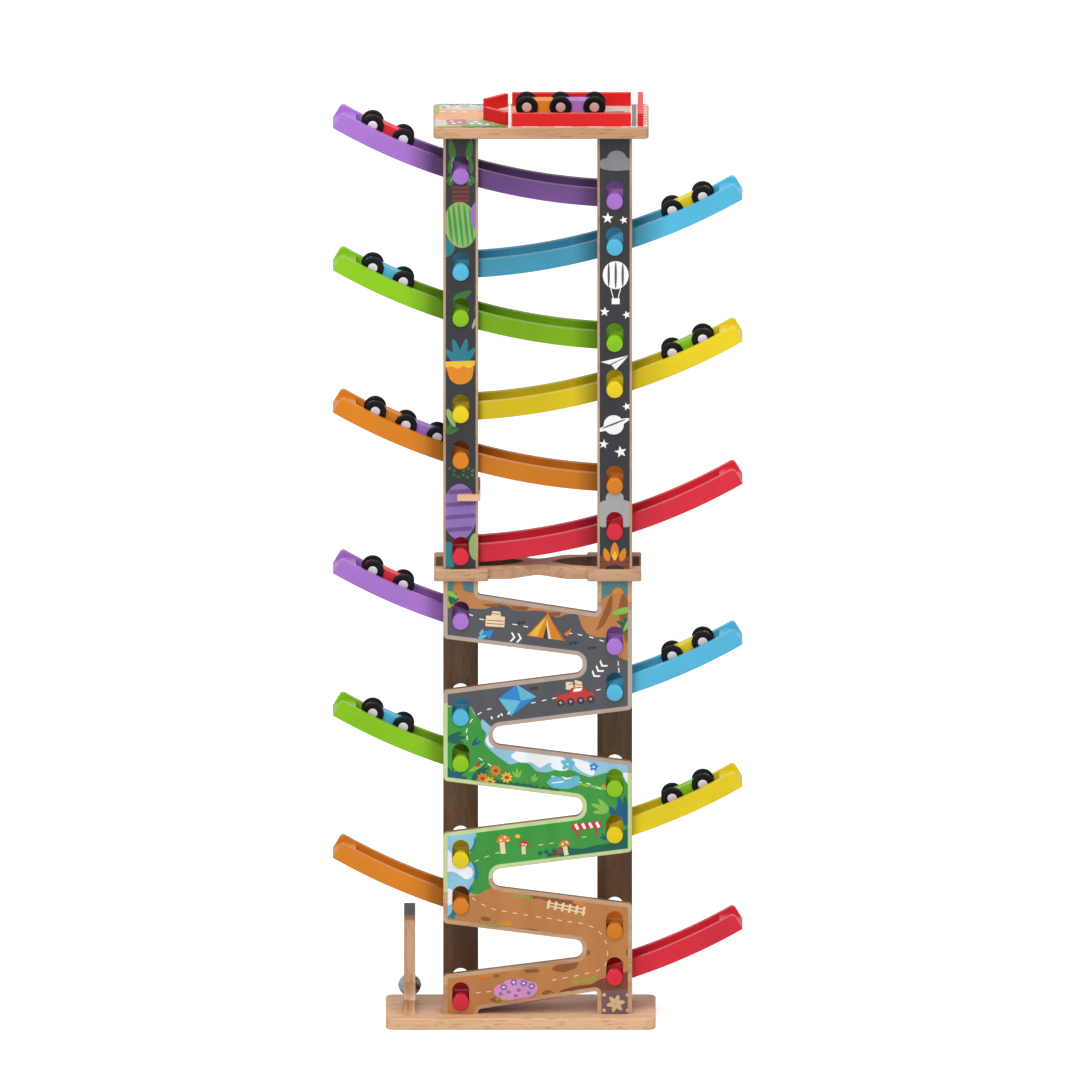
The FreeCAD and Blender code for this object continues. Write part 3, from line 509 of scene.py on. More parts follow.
def press(name, face, layers, stencil, first=1):
    """Print layers of ink onto a face, each a hair thicker than the last, inside a stencil.

    A layer is a colour and its motifs, and a motif is what draws it with its places and sizes.
    """
    for level, (colour, motifs) in enumerate(layers, first):
        bm = bmesh.new()
        for draw, *sizes in motifs:
            draw(bm, *sizes)
        bmesh.ops.translate(bm, verts=bm.verts, vec=(0, 0, INK_LIFT * MM))
        draw_out(bm, (0, 0, INK_COAT * MM * level))
        bmesh.ops.transform(bm, matrix=face, verts=bm.verts)
        piece = show(f"{name}_{level:02d}_{colour}", bm, [INKS[colour]])
        combine(piece, stencil, "INTERSECT")
        refinish(piece, INKS[colour])
        piece.data.shade_flat()
    bpy.data.objects.remove(stencil)


# Panels and posts

def upright(depth):
    """Stands a flat drawing up at this depth, facing the front."""
    return Matrix(((1, 0, 0, 0), (0, 0, -1, depth * MM), (0, 1, 0, 0), (0, 0, 0, 1)))


FRONT_FACE = upright(FRONT)
DECK_FACE = Matrix.Translation((0, 0, DECK * MM))


def notch(side, rank):
    """Corners of the notch under a track, cut from the right (1) or the left (-1) of the panel."""
    outer = POST_X + POST_WIDTH / 2
    middle = LOWER_FLOOR + FIRST_RISE - NOTCH_SINK - rank * PITCH
    return [(side * u, middle + side * v) for u, v in (
        (outer, -NOTCH_MOUTH / 2), (-NOTCH_REACH, -NOTCH_END / 2),
        (-NOTCH_REACH, NOTCH_END / 2), (outer, NOTCH_MOUTH / 2))]


def zigzag(bm, rim=0.0):
    """Outline of the panel with notches from alternate sides, corners rounded, drawn in by a rim."""
    outer, inner = POST_X + POST_WIDTH / 2, POST_X - POST_WIDTH / 2
    foot, head = LOWER_FLOOR, LOWER_FLOOR + TIER
    path = [(-outer, foot - rim), (-inner, foot - rim), (-inner, foot + DOOR_LEFT),
            (inner, foot + DOOR_RIGHT), (inner, foot - rim), (outer, foot - rim),
            *notch(1, 3), *notch(1, 1),
            (outer, head + rim), (inner, head + rim), (inner, head - WINDOW_RIGHT),
            (-inner, head - WINDOW_LEFT), (-inner, head + rim), (-outer, head + rim),
            *notch(-1, 0), *notch(-1, 2), *notch(-1, 4)]
    verts = [bm.verts.new((u * MM, v * MM, 0)) for u, v in path]
    bm.faces.new(verts)
    corners = {reach: [vert for vert, (u, v) in zip(verts, path)
                       if abs(abs(u) - reach) < 0.1 and foot + 1 < v < head - 1]
               for reach in (NOTCH_REACH, outer, inner)}
    rounded(bm, corners[NOTCH_REACH], NOTCH_ROUND, 10, "VERTICES")
    rounded(bm, corners[outer], MOUTH_ROUND, 6, "VERTICES")
    rounded(bm, corners[inner], FRAME_ROUND, 5, "VERTICES")
    if rim:
        ring = bmesh.ops.inset_region(bm, faces=bm.faces[:], thickness=rim * MM, use_even_offset=True,
                                      use_boundary=True)
        bmesh.ops.delete(bm, geom=ring["faces"], context="FACES")


def both_columns(bm, floor, spare=0.0, rim=0.0):
    """Outlines of a tier's two posts, longer by a spare length and drawn in by a rim."""
    half = POST_WIDTH / 2 - rim
    for x in (-POST_X, POST_X):
        patch(bm, ((x - half, floor - spare), (x + half, floor - spare),
                   (x + half, floor + TIER + spare), (x - half, floor + TIER + spare)))


def stencil_from(bm, face, floor=None):
    """A thin block on a printed face that bounds the print, pierced by the slots of a tier."""
    # from 1 mm under the face to 2 mm over it
    draw_out(bm, (0, 0, 3 * MM))
    bmesh.ops.translate(bm, verts=bm.verts, vec=(0, 0, -MM))
    bmesh.ops.transform(bm, matrix=face, verts=bm.verts)
    block = show("stencil", bm, [], None)
    if floor:
        cut(block, slot_cutter(floor, FRONT))
    return block


def panel_piece(name, node, bm, floor, front, finish, sawn):
    """A panel with round-ended slots and eased edges, in place of its CAD piece."""
    draw_out(bm, (0, 0, -PANEL_THICK * MM))
    bmesh.ops.transform(bm, matrix=upright(front), verts=bm.verts)
    piece = show(name, bm, [finish])
    cut(piece, slot_cutter(floor, front))
    bm = bmesh.new()
    bm.from_mesh(piece.data)
    rounded(bm, [edge for edge in sharp_edges(bm, 60)
                 if abs(edge.verts[0].co.y - edge.verts[1].co.y) < 1e-6], SAWN_ROUND, 2)
    for side in bm.faces:
        side.material_index = 1 if abs(side.normal.y) < 0.3 else 0
    refinish(piece, finish, sawn)
    bm.to_mesh(piece.data)
    bm.free()
    smooth(piece)
    level_shading(piece)
    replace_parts(piece, node)


panel_piece("zigzag_panel", "lower_front_panel", drawing(zigzag), LOWER_FLOOR, FRONT, BEECH_DECKS, BURNT)
for tier, floor in TIERS:
    # the rear posts are darkened beech, as painted shade
    panel_piece(f"{tier}_rear_columns", f"{tier}_rear_posts", drawing(both_columns, floor), floor,
                PANEL_GAP / 2, BEECH_DARKENED_FOR_SHADE, BEECH_DARKENED_FOR_SHADE)
panel_piece("upper_front_columns", "upper_front_posts", drawing(both_columns, UPPER_FLOOR), UPPER_FLOOR,
            FRONT, BEECH_POSTS, BEECH_POSTS)
for rank, colour in enumerate(TRACKS):
    peg_buttons(colour, rank)


# Boards, rails, clip and bell board

def darken_openings_as_shade(plate):
    """Painted shade: the walls of the plate's two openings are darkened like the rear posts."""
    deep, start = 18.8 * MM, 14.5 * MM
    plate.data.materials.append(BEECH_DARKENED_FOR_SHADE)
    for face in plate.data.polygons:
        # these walls face the plate's middle line, and the plate's own sides face away from it
        inward = abs(face.normal.z) < 0.5 and face.normal.y * face.center.y <= 0
        if inward and abs(face.center.y) < deep and abs(face.center.x) > start:
            face.material_index = 1


eased("base_board", 0.5, BEECH_BASE, limit=40)
eased("top_board", 0.5, BEECH_DECKS, limit=40)
darken_openings_as_shade(eased("middle_plate", 1.0, BEECH_DECKS, 3))
eased("bell_board", 0.8, BEECH_BELL, 3)
eased("post_clip", 0.5, BEECH_BASE)
for node in ("parking_side_rails", "parking_funnel_rails", "parking_end_stop"):
    eased(node, 0.6, PEN_RED, 3)


# Tracks

for tier in ("upper", "lower"):
    for colour in TRACKS:
        eased(f"{tier}_{colour}_track", 0.6, TRACK_PAINT_SHADED[colour], 3)


# Cars

# Sections through one wheel, as (distance from the axle, place along it)
WHEEL_SECTION = ((1.4, 7.8), (9.9, 7.8), (10.7, 8.1), (11.2, 8.7), (11.2, 9.5), (10.9, 10.2), (10.2, 10.65),
                 (9.2, 10.8), (7.2, 10.72), (5.6, 10.35), (4.95, 10.2), (1.4, 10.2), (1.4, 7.8))
RIVET_SECTION = ((0.0, 10.25), (4.7, 10.25), (4.8, 10.5), (4.4, 10.72), (3.0, 10.85), (0.0, 10.95))
AXLE_RADIUS = 1.35
AXLE_REACH = 10.1


def spun(bm, profile, centre, material, steps=40):
    """Turn a profile of (distance from the axle, place along it) round the axle."""
    verts = [bm.verts.new((radius * MM, along * MM, 0)) for radius, along in profile]
    edges = [bm.edges.new(pair) for pair in zip(verts, verts[1:])]
    bmesh.ops.spin(bm, geom=verts + edges, cent=(0, 0, 0), axis=(0, 1, 0), angle=math.tau,
                   steps=steps, use_merge=True)
    made = [vert for vert in bm.verts if not vert.tag]
    bmesh.ops.remove_doubles(bm, verts=made, dist=1e-7)
    made = [vert for vert in bm.verts if not vert.tag]
    faces = list({face for vert in made for face in vert.link_faces})
    bmesh.ops.recalc_face_normals(bm, faces=faces)
    for face in faces:
        face.material_index = material
    bmesh.ops.translate(bm, verts=made, vec=centre)
    for vert in made:
        vert.tag = True


def wheelset(body, centre):
    """Two solid wheels with rounded shoulders and pale rivet heads, on one steel pin."""
    bm = bmesh.new()
    for side in (-1, 1):
        spun(bm, [(radius, side * along) for radius, along in WHEEL_SECTION], centre, 0)
        spun(bm, [(radius, side * along) for radius, along in RIVET_SECTION], centre, 1)
    spun(bm, ((0, -AXLE_REACH), (AXLE_RADIUS, -AXLE_REACH), (AXLE_RADIUS, AXLE_REACH), (0, AXLE_REACH)),
         centre, 2, 16)
    # painted reflection: the deck train's rivet heads are tinted rosy
    rivet = RIVET_PAINTED_REFLECTION if body.startswith("deck") else RIVET
    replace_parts(show(body + "_turned", bm, [TYRE, rivet, STEEL], body, 40), body)


for joint in frame["joints"]:
    if joint["name"].endswith("_spin"):
        wheelset(joint["child"], joint["pos_m"])

for tier in ("upper", "lower"):
    for colour in CARS:
        body = f"{tier}_{colour}_car_body"
        eased(body, 1.1, PAINT[colour], 3, 20, body)
for train in ("track_train", "deck_train"):
    for colour in ("orange", "purple"):
        body = f"{train}_{colour}_body"
        eased(body, 0.9, PAINT[colour], 3, 20, body)


# Bell

SEAM_SECTION = ((11.2, -0.9), (11.75, -0.7), (11.8, 0.0), (11.75, 0.7), (11.2, 0.9), (11.2, -0.9))
LUG = Vector(next(joint for joint in frame["joints"] if joint["name"] == "bell_swing")["pos_m"])
BALL = LUG - Vector((0, 0, 15)) * MM


def block(bm, size, matrix):
    """A cuboid of this size, moved and turned by a matrix in metres."""
    bmesh.ops.create_cube(bm, size=MM, matrix=matrix @ Matrix.Diagonal((*size, 1)))


def show_bell(name, bm, finish=NICKEL):
    """A piece of the bell, in place of its CAD piece."""
    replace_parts(show(name, bm, [finish], "bell"), "bell")


def bell_ball():
    """A hollow ball with a crossed slit whose four arms end in round holes."""
    bm = bmesh.new()
    bmesh.ops.create_uvsphere(bm, u_segments=48, v_segments=24, radius=11.3 * MM)
    bmesh.ops.solidify(bm, geom=bm.faces[:], thickness=0.7 * MM)
    bmesh.ops.translate(bm, verts=bm.verts, vec=BALL)
    ball = show("bell_ball", bm, [NICKEL], "bell")
    bm = bmesh.new()
    for turn in (0, math.pi / 2):
        block(bm, (26, 2.2, 10),
              Matrix.Translation(BALL - Vector((0, 0, 7.5)) * MM) @ Matrix.Rotation(turn, 4, "Z"))
    for number in range(4):
        spot = Matrix.Rotation(number * math.pi / 2, 3, "Z") @ Vector((10.2, 0, -2.8))
        bmesh.ops.create_icosphere(bm, subdivisions=2, radius=2.1 * MM,
                                   matrix=Matrix.Translation(BALL + spot * MM))
    cut(ball, show("slits", bm, [], None))
    refinish(ball, NICKEL)
    smooth(ball, 40)
    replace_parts(ball, "bell")


def bell_seam():
    """The flange where the two pressed halves of the ball meet."""
    bm = bmesh.new()
    spun(bm, SEAM_SECTION, (0, 0, 0), 0, 48)
    bmesh.ops.rotate(bm, verts=bm.verts, matrix=Matrix.Rotation(math.pi / 2, 3, "X"))
    bmesh.ops.translate(bm, verts=bm.verts, vec=BALL)
    show_bell("bell_seam", bm)


def bell_strap():
    """The lug from the ball to the pin, round at its top."""
    bm = bmesh.new()
    block(bm, (5, 2, 7.5), Matrix())
    upper = [edge for edge in bm.edges if all(vert.co.z > 0 for vert in edge.verts)
             and abs(edge.verts[0].co.x - edge.verts[1].co.x) < 1e-6]
    rounded(bm, upper, 2.3, 6)
    rounded(bm, sharp_edges(bm, 50), 0.3, 2)
    bmesh.ops.translate(bm, verts=bm.verts, vec=LUG - Vector((0, 0, 1.25)) * MM)
    show_bell("bell_strap", bm)


def bell_pin():
    """The steel pin across the window, as long as in the CAD, with its ends eased."""
    bm = bmesh.new()
    low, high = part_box("bell")
    reach = (high[1] - low[1]) / 2 / MM
    spun(bm, ((0, -reach), (0.85, -reach), (0.95, -reach + 0.2), (0.95, reach - 0.2), (0.85, reach),
              (0, reach)), LUG, 0, 20)
    show_bell("bell_pin", bm, STEEL)


bell_ball()
bell_seam()
bell_strap()
bell_pin()


# Motifs of the prints

def dots(bm, size, *spots):
    """Small, slightly flat spots of one size."""
    for u, v in spots:
        disc(bm, u, v, size, size * 0.8)


def lane(bm, *spots):
    """Short road dashes that follow a line of spots."""
    for number, (u, v) in enumerate(spots):
        before, after = spots[max(number - 1, 0)], spots[min(number + 1, len(spots) - 1)]
        turn = math.degrees(math.atan2(after[1] - before[1], after[0] - before[0]))
        strip(bm, u, v, 4.6, 1.0, turn)


def grass(bm, u, v, count, rise, long):
    """A row of thin blades that fan out a little, on ground that rises by so much from one to the next."""
    for number in range(count):
        lean = 34 * (0.5 - number / (count - 1)) + 14 * (number % 2) - 7
        leaf(bm, u + number * 1.7, v + number * rise, long * (0.75 + 0.25 * (number % 2)), 1.6, 90 + lean)


def star(bm, u, v, size):
    """A star with five points, each star turned a little differently."""
    corners = []
    for number in range(10):
        reach, angle = size * (0.42 if number % 2 else 1.0), math.radians(90 + 36 * number)
        corners.append((reach * math.cos(angle), reach * math.sin(angle)))
    patch(bm, corners, 0, (u, v), u)


def bloom(bm, u, v, long, wide, petals=8):
    """The petals of a flower."""
    for number in range(petals):
        leaf(bm, u, v, long, wide, 360 / petals * number + 12)


def cap(bm, u, v, wide, turn=0.0):
    """The domed cap of a toadstool."""
    patch(bm, ((-wide, 0), (wide, 0), (wide * 0.8, wide * 0.6), (wide * 0.3, wide), (-wide * 0.3, wide),
               (-wide * 0.8, wide * 0.6)), wide * 0.2, (u, v), turn)


def many(draw, *rows):
    """One kind of motif at many places."""
    return [(draw, *row) for row in rows]


def alike(draw, sizes, *spots):
    """One kind of motif in the same sizes at many spots."""
    return [(draw, *spot, *sizes) for spot in spots]


# Places and turns of the tent, the crates, the kite and the wagon
TENT = ((9, 412), -8)
CRATE = ((-42, 419), -4)
KITE = ((-22, 338), 4)
WAGON = ((37, 341), 7)
WAGON_LOAD = ((37, 349), 7)
WAGON_WHEELS = [(u, 334.4 + (u - 23) * 0.13) for u in (23, 33, 43, 53)]


# Print of the zigzag panel

press("margin_print", FRONT_FACE, [
    # worn margins of the road and of the fields
    ("fog", [(patch, ((-100, 446), (-58, 446), (100, 430), (100, 262), (-40, 280), (-62, 300), (-66, 334),
        (-100, 334)))]),
    ("sprout", [(patch, ((-100, 334), (-88, 334), (-88, 264), (0, 250), (60, 246), (86, 262), (100, 262),
        (100, 172), (-34, 156), (-54, 150), (-58, 138), (-100, 138)))]),
], stencil_from(drawing(zigzag, MARGIN_RIM), FRONT_FACE, LOWER_FLOOR))

press("panel_print", FRONT_FACE, [
    # the road, a dark teal sky above it whose ink also carries painted shade from the middle plate, and day
    # over the fields
    ("charcoal", [(patch, ((-100, 470), (100, 470), (100, 300), (-42, 300), (-50, 311), (-60, 317),
        (-66, 330), (-100, 332)), 2)]),
    ("shaded_teal_sky", [
        (patch, ((-100, 470), (-100, 438), (-72, 440), (-55, 444), (-55, 470))),
        (patch, ((100, 470), (100, 420), (70, 424), (55, 428), (55, 470)))]),
    ("sky", [
        (patch, ((-40, 303), (-56, 318), (-58, 308), (-52, 303), (-55, 292), (-47, 283), (-42, 278),
            (-28, 268), (0, 258), (40, 258), (60, 252), (100, 240), (100, 300)), 2),
        (patch, ((-100, 204), (-61, 204), (-62, 193), (-66, 182), (-69, 176), (-69, 166), (-63, 158),
            (-64, 149), (-69, 142), (-78, 134), (-84, 112), (-100, 112)), 3)]),
    # green hills with dark teal rims
    ("grass", [(patch, ((-100, 330), (-67, 330), (-64, 322), (-57.5, 317), (-56, 308), (-51, 303),
        (-53.5, 292), (-46, 284), (-41, 279.5), (-28, 270), (-18, 273), (-8, 271), (-1, 263), (9, 262),
        (22, 266), (36, 264), (44, 260), (52, 257), (67, 261.5), (82, 264), (88, 252), (100, 236),
        (100, 150), (-40, 150), (-46, 142), (-52.5, 140.5), (-58, 136), (-65, 136), (-69, 142), (-64, 149),
        (-63, 158), (-69, 166), (-69, 176), (-66, 182), (-62, 193), (-61, 204), (-100, 216)), 2.5)]),
    ("teal", many(disc, (-63, 160, 3.6, 9, 10), (-65.5, 187, 3, 8, -24), (-68, 141, 4, 3.4, 30),
        (-84, 118, 3, 9, -16), (-93, 118, 7, 8, 0))),
    ("sky", many(disc, (-67, 161, 3.6, 9, 10), (-69, 188, 4.4, 9, -24), (-72, 144, 4.6, 4, 30),
        (-90, 122, 5, 9, -10))),
    ("cloud", [
        (patch, ((-28, 279), (-16, 288), (0, 286), (14, 282), (26, 278), (30, 270), (22, 266), (12, 273),
            (2, 266), (-6, 273), (-18, 272)), 3),
        (patch, ((34, 278), (52, 272), (58, 266), (56, 258), (46, 262), (38, 268)), 3),
        (patch, ((-53, 296), (-48, 302), (-40, 302), (-40, 290), (-46, 287), (-50, 290)), 2.5),
        (disc, 22, 268, 9, 4, -10),
        (patch, ((84, 262), (100, 262), (100, 246), (90, 250)), 3),
        (patch, ((-100, 184), (-88, 182), (-84, 172), (-74, 166), (-66, 164), (-64, 156), (-70, 150),
            (-84, 160), (-100, 158)), 4),
        (patch, ((-100, 142), (-86, 142), (-82, 128), (-90, 124), (-100, 130)), 3)]),
    # brown earth with darker rocks, and a sun that rises behind its hill
    ("clay", [
        (patch, ((-82, 462), (-76, 462), (-74, 450), (-58, 446), (-20, 440), (50, 430), (60, 434), (66, 443),
            (75, 448), (85, 448), (93, 441), (100, 428), (100, 377), (88, 378), (78, 384), (72, 402),
            (60, 402), (50, 405), (44, 413), (40, 426), (29, 426), (19, 422), (7, 429), (-4, 430),
            (-14, 429), (-24, 430), (-30, 435), (-39, 436), (-53, 431), (-68, 432), (-77, 436), (-86, 434),
            (-100, 430), (-100, 441), (-86, 446)), 2.2),
        (patch, ((-70, 134), (-60, 135), (-52.5, 140), (-46, 142.5), (-38, 152), (100, 144), (100, 34),
            (60, 30), (55, 4), (-100, 4), (-100, 114), (-84, 110), (-76, 128)), 2)]),
    ("umber", [
        (patch, ((-10, 0), (10, 5 / 3), (20 / 3, -2.5), (-5, -2.5)), 1.4, (-46, 436), -4),
        (patch, ((-10, 0), (10, 2), (20 / 3, -3), (-5, -3)), 1.4, (-18, 433), -6),
        (patch, ((-8, 0), (8, 2), (16 / 3, -3), (-4, -3)), 1.4, (16, 427), -4),
        (patch, ((84, 447), (88, 446), (94, 430), (96, 400), (88, 396), (84, 412), (80, 430)), 2),
        (patch, ((72, 444), (75, 446), (74, 430), (66, 414), (58, 408), (64, 424)), 1.6),
        (patch, ((-6, 134), (8, 134), (42, 128), (38, 124), (12, 128)), 1.2),
        (patch, ((-24, 101.5), (-4, 100), (12, 95), (-8, 96), (-22, 98)), 1),
        (patch, ((14, 63), (28, 66), (42, 67), (38, 59), (26, 55), (15, 57)), 1.6),
        (patch, ((-14, 58), (0, 59), (2, 55.5), (-12, 54.5)), 1),
        (patch, ((-49, 27), (-42, 30), (-35, 26), (-40, 22.5)), 1.2),
        *many(disc, (-52, 110.5, 5.2, 2.2, -8), (49, 75.5, 3.6, 3, 0), (92, 76, 4, 5, 0),
            (9, 34.5, 5, 2.2, 14), (-41, 51.5, 3, 1.5, 8), (-4, 133, 6, 1.6, -6))]),
    ("rust", [(patch, ((17, 30), (24, 37), (38, 41), (54, 43), (62, 48), (78, 52), (100, 60), (100, 36),
        (60, 35), (40, 30)), 2)]),
    ("amber", [
        (cap, 80, 447.4, 6),
        *many(disc, (41, 127, 6, 1.8, -10), (-32, 106, 6, 2.6, -6), (14, 63, 5, 2.4, 12),
            (-52, 52, 7.5, 2.4, 8), (66, 248, 2))]),
    # grass along the lower rows, dark leaves and bushes, and light leaves over them
    ("moss", many(grass, (-24, 132.4, 11, -0.16, 5.6), (-53, 102.6, 12, -0.2, 6.6),
        (36, 42.6, 14, 0.24, 7.0), (-41, 25.4, 5, 0.1, 5.0))),
    ("pine", [
        *many(frond, (-92, 296, 22, 8, 3, 18), (-90, 250, 26, 42, 5, 22), (-62, 262, 17, 32, 4, 24)),
        (patch, ((-64, 262), (-50, 258), (-36, 253), (-22, 251), (-10, 250), (0, 246), (14, 246), (26, 240),
            (34, 236), (34, 226), (-70, 244)), 2),
        *[(frond, -34 + place * 6.6, 250 - place * 1.1, 6, 84 + 10 * (place % 2), 3,
            28) for place in range(9)],
        *many(frond, (90, 218, 22, 100, 5, 24), (78, 238, 12, 60, 3, 30)),
        (patch, ((18, 180), (28, 184), (44, 183), (60, 187), (76, 189), (84, 200), (100, 212), (100, 176),
            (30, 168)), 2),
        *[(frond, 2 + place * 7, 176 + place * 1.2, 7, 80 + 16 * (place % 2), 3, 30) for place in range(5)],
        *many(frond, (-88, 436, 15, 60, 3, 26), (98, 408, 24, 150, 3, 20))]),
    ("navy", many(frond, (86, 206, 36, 86, 4, 26), (68, 192, 9, 120, 3, 30), (-84, 252, 17, 70, 3, 40),
        (-66, 290, 12, 40, 2, 30))),
    ("lime", [
        *many(leaf, (94, 432, 22, 7, 196), (95, 424, 20, 5, 240), (-92, 450, 15, 5, -30),
            (-93, 444, 14, 4, -66), (-70, 262, 22, 4.5, 30), (-84, 262, 15, 3.6, 64)),
        *many(frond, (72, 222, 22, 158, 3, 26), (-20, 256, 12, 96, 3, 30), (-4, 252, 10, 80, 3, 30),
            (16, 250, 10, 104, 3, 30)),
        *[(disc, 30 + place * 9, 252 - place * 1.6, 4.4, 1.6, -12) for place in range(6)]]),
    # lines of the road down the rows
    ("white", [
        (lane, (-67, 425.3), (-56, 420.7), (-22.7, 415.3), (-12, 413.2), (-1.2, 411.4), (32.3, 406.3),
            (42.3, 404.6), (53.6, 402), (64, 398.6)),
        (lane, (80.6, 375), (81.2, 368)),
        (lane, (70.3, 352), (60.6, 347.7), (16.5, 339), (6.5, 336.8), (-4.4, 334.4), (-48.5, 327.8),
            (-58.2, 323.2), (-66.5, 315.7), (-71, 305.4), (-70.5, 298)),
        (lane, (-57, 276), (-48, 270)),
        (lane, (16, 258), (26, 257), (42, 252), (51, 250.4), (61, 246)),
        (chevrons, -27.5, 402.5, -8, 2, 6.5),
        (chevrons, 66.8, 376, 234, 3, 6.6)]),
    ("mint", [(lane, (-61, 170.8), (-51, 175), (-40.2, 178.9), (3.1, 187.2), (13.6, 188.9), (46.5, 195.3))]),
    ("cream", [
        (lane, (-64, 131), (-54.4, 125), (-44, 120.7), (-33.5, 118.5), (-22.7, 116.4), (-11.9, 114.7),
            (0.6, 112.6), (11.5, 111), (22, 109.2), (32.3, 107.4), (43, 106), (53.6, 102.6), (62.3, 96),
            (68, 86.7), (69.8, 75), (68, 64), (60.3, 57.2), (49.3, 54.3), (38.6, 51.7), (27.3, 49.5),
            (16.5, 47.4)),
        (lane, (-49, 35.3), (-59.4, 34.1))]),
    ("mauve", [(patch, ((60, 4), (100, 4), (100, 39), (62, 36)), 1)]),
    # tent, flowers and toadstools
    ("amber", [
        (patch, ((-19, -11), (-1, 15), (20, -11)), 1.0, *TENT),
        (patch, ((18, -4), (25, 3), (22, -6)), 0.4, *TENT),
        *alike(bloom, (6.6, 3.6), (-55, 256), (-42, 264)),
        *many(cap, (-34, 190, 7.6, 6), (27, 186, 6, 10))]),
    ("sun", [
        *alike(bloom, (6.4, 3.4), (-48, 252), (-31, 257)),
        (patch, ((-17, -10), (-2, 12), (-8, -10)), 0.6, *TENT),
        (dots, 2.6, (-34, 29), (-29, 28), (-20, 196))]),
    # crates, the wagon's load, stems and a low picket fence
    ("cream", [
        (patch, ((-10, -6), (9, -6), (9, 5), (-10, 5)), 0.6, *CRATE),
        (patch, ((-5, 5), (5, 5), (4, 10), (-4, 10)), 0.6, *CRATE),
        (patch, ((0, -11), (-1, 9), (6, -11)), 0.6, *TENT),
        (patch, ((-9, 0), (-1, -1), (-1, 7), (-8, 8)), 0.8, *WAGON_LOAD),
        (patch, ((0, -1), (8, 0), (8, 6), (1, 9)), 0.8, *WAGON_LOAD),
        *many(strip, (-35, 184, 5, 12, 6), (-14, 182, 4, 9, 2), (28, 181, 4.4, 9, 10)),
        *[(strip, 11 + place * 7, 125.6 - place * 1.4, 2.4, 9, -11) for place in range(6)],
        *many(strip, (28.5, 124, 39, 1.3, -11.3), (28.5, 120.4, 39, 1.3, -11.3))]),
    # slats of the crates, hearts of the flowers and seams of the tent
    ("umber", [
        *many(strip, (-42.71, 416, 17, 0.8, -4), (-42.472, 419.4, 17, 0.8, -4),
            (-41.982, 426.4, 8, 0.8, -4)),
        (dots, 2.2, (-55, 256), (-42, 264), (-48, 252), (-31, 257)),
        *many(strip, (-1, 414, 29, 0.8, 48), (19, 411, 27, 0.8, -61), (35, 354, 8, 0.7, 12),
            (41, 353, 7, 0.7, 0)),
        (dots, 1.1, (15, 34), (22, 33), (29, 38), (36, 36), (46, 41), (54, 39))]),
    # kite and pond
    ("azure", [
        (patch, ((-17, 2), (2, 15), (5, -2)), 0.8, *KITE),
        (patch, ((5, -2), (21, 1), (-6, -17)), 0.8, *KITE),
        (patch, ((-8, 3), (4, 5), (0, -5)), 0.8, (-48, 405)),
        (bloom, 56, 268, 5, 3, 5)]),
    ("aqua", [
        (patch, ((2, 15), (21, 1), (5, -2)), 0.8, *KITE),
        (patch, ((-17, 2), (5, -2), (-6, -17)), 0.8, *KITE),
        (patch, ((-17, -3), (-10, -9), (6, -10), (16, -6), (18, 3), (11, 4), (2, 0), (-8, 4)), 2.6,
            (25, 255)),
        (bloom, 30, 271, 8, 4.6, 5),
        (leaf, -60, 401, 10, 4.4, 20),
        (leaf, -58, 404, 8, 3.4, 60)]),
    # wagon and barrier
    ("scarlet", [
        (patch, ((-19, -6), (19, -5), (20, 2), (12, 4), (9, 9), (-3, 9), (-5, 4), (-18, 3)), 1.6, *WAGON),
        *many(strip, (49, 207, 30, 6.4, 6), (40, 200, 2, 10, 6), (59, 202, 2, 10, 6)),
        (cap, -14, 186, 5.4, -4),
        (dots, 2.4, (18, 178), (22, 181), (-60, 270))]),
    # a rosy flowering bush beside the lowest stretch of road
    ("rose", many(disc, (-36, 36, 8, 7, 8), (-27, 40, 9, 8, 8), (-17, 41, 9, 7.4, 8), (-8, 39, 8, 7, 8),
        (-24, 33, 12, 6, 8), (-12, 34, 10, 5, 8))),
    ("lilac", [
        *alike(bloom, (4.2, 3, 6), (-34, 40), (-24, 45), (-14, 44), (-6, 41)),
        *alike(disc, (2.2, 1.8), (-29, 35), (-19, 37), (-9, 34), (-37, 33), (-22, 31))]),
    # white spots, glints and small flowers
    ("white", [
        (dots, 1.1, (-37, 192), (-33, 195), (-30, 191.6), (25, 188), (29, 190), (-15, 188), (-12, 187.4)),
        *[(strip, 39 + place * 7, 206 + place * 0.7, 2.8, 6.2, 26) for place in range(4)],
        (patch, ((-1, 4.6), (7, 5), (9, 8), (0, 8)), 0.6, *WAGON),
        (strip, 20, 252, 12, 1.2, 6),
        (strip, 30, 256, 7, 1.2, 10),
        (dots, 1.2, (30, 271), (56, 268), (-34, 40), (-24, 45), (-14, 44), (-6, 41)),
        *[(leaf, -30 - place * 5, 322 - place * 1.6, 4, 2, 60 + 60 * (place % 2)) for place in range(4)],
        (dots, 1.2, (-66, 372), (-60, 371))]),
    # wheels, the tent's doorway and other small dark marks
    ("slate", [
        *alike(disc, (3.6,), *WAGON_WHEELS),
        (patch, ((-2, -11), (-0.6, 3), (3, -11)), 0.4, *TENT),
        *alike(disc, (1.6, 1.3), (-19, 417), (33, 396), (52, 391), (-6, 349)),
        *alike(leaf, (5, 2.4, 10), (-17, 417), (35, 396), (54, 391), (-4, 349)),
        *[(leaf, 10 + place * 3, 174.4 + place * 0.4, 5, 1.6, 70 + place * 12) for place in range(4)]]),
    ("stone", alike(disc, (1.5,), *WAGON_WHEELS)),
    # a pale flower with a dot in each corner
    ("sand", [(bloom, 78, 23, 10, 5, 6), *alike(disc, (1.8,), (66.5, 16), (66.5, 32), (90, 16), (90, 32))]),
], stencil_from(drawing(zigzag, PRINT_RIM), FRONT_FACE, LOWER_FLOOR), 3)


# Print of the upper posts

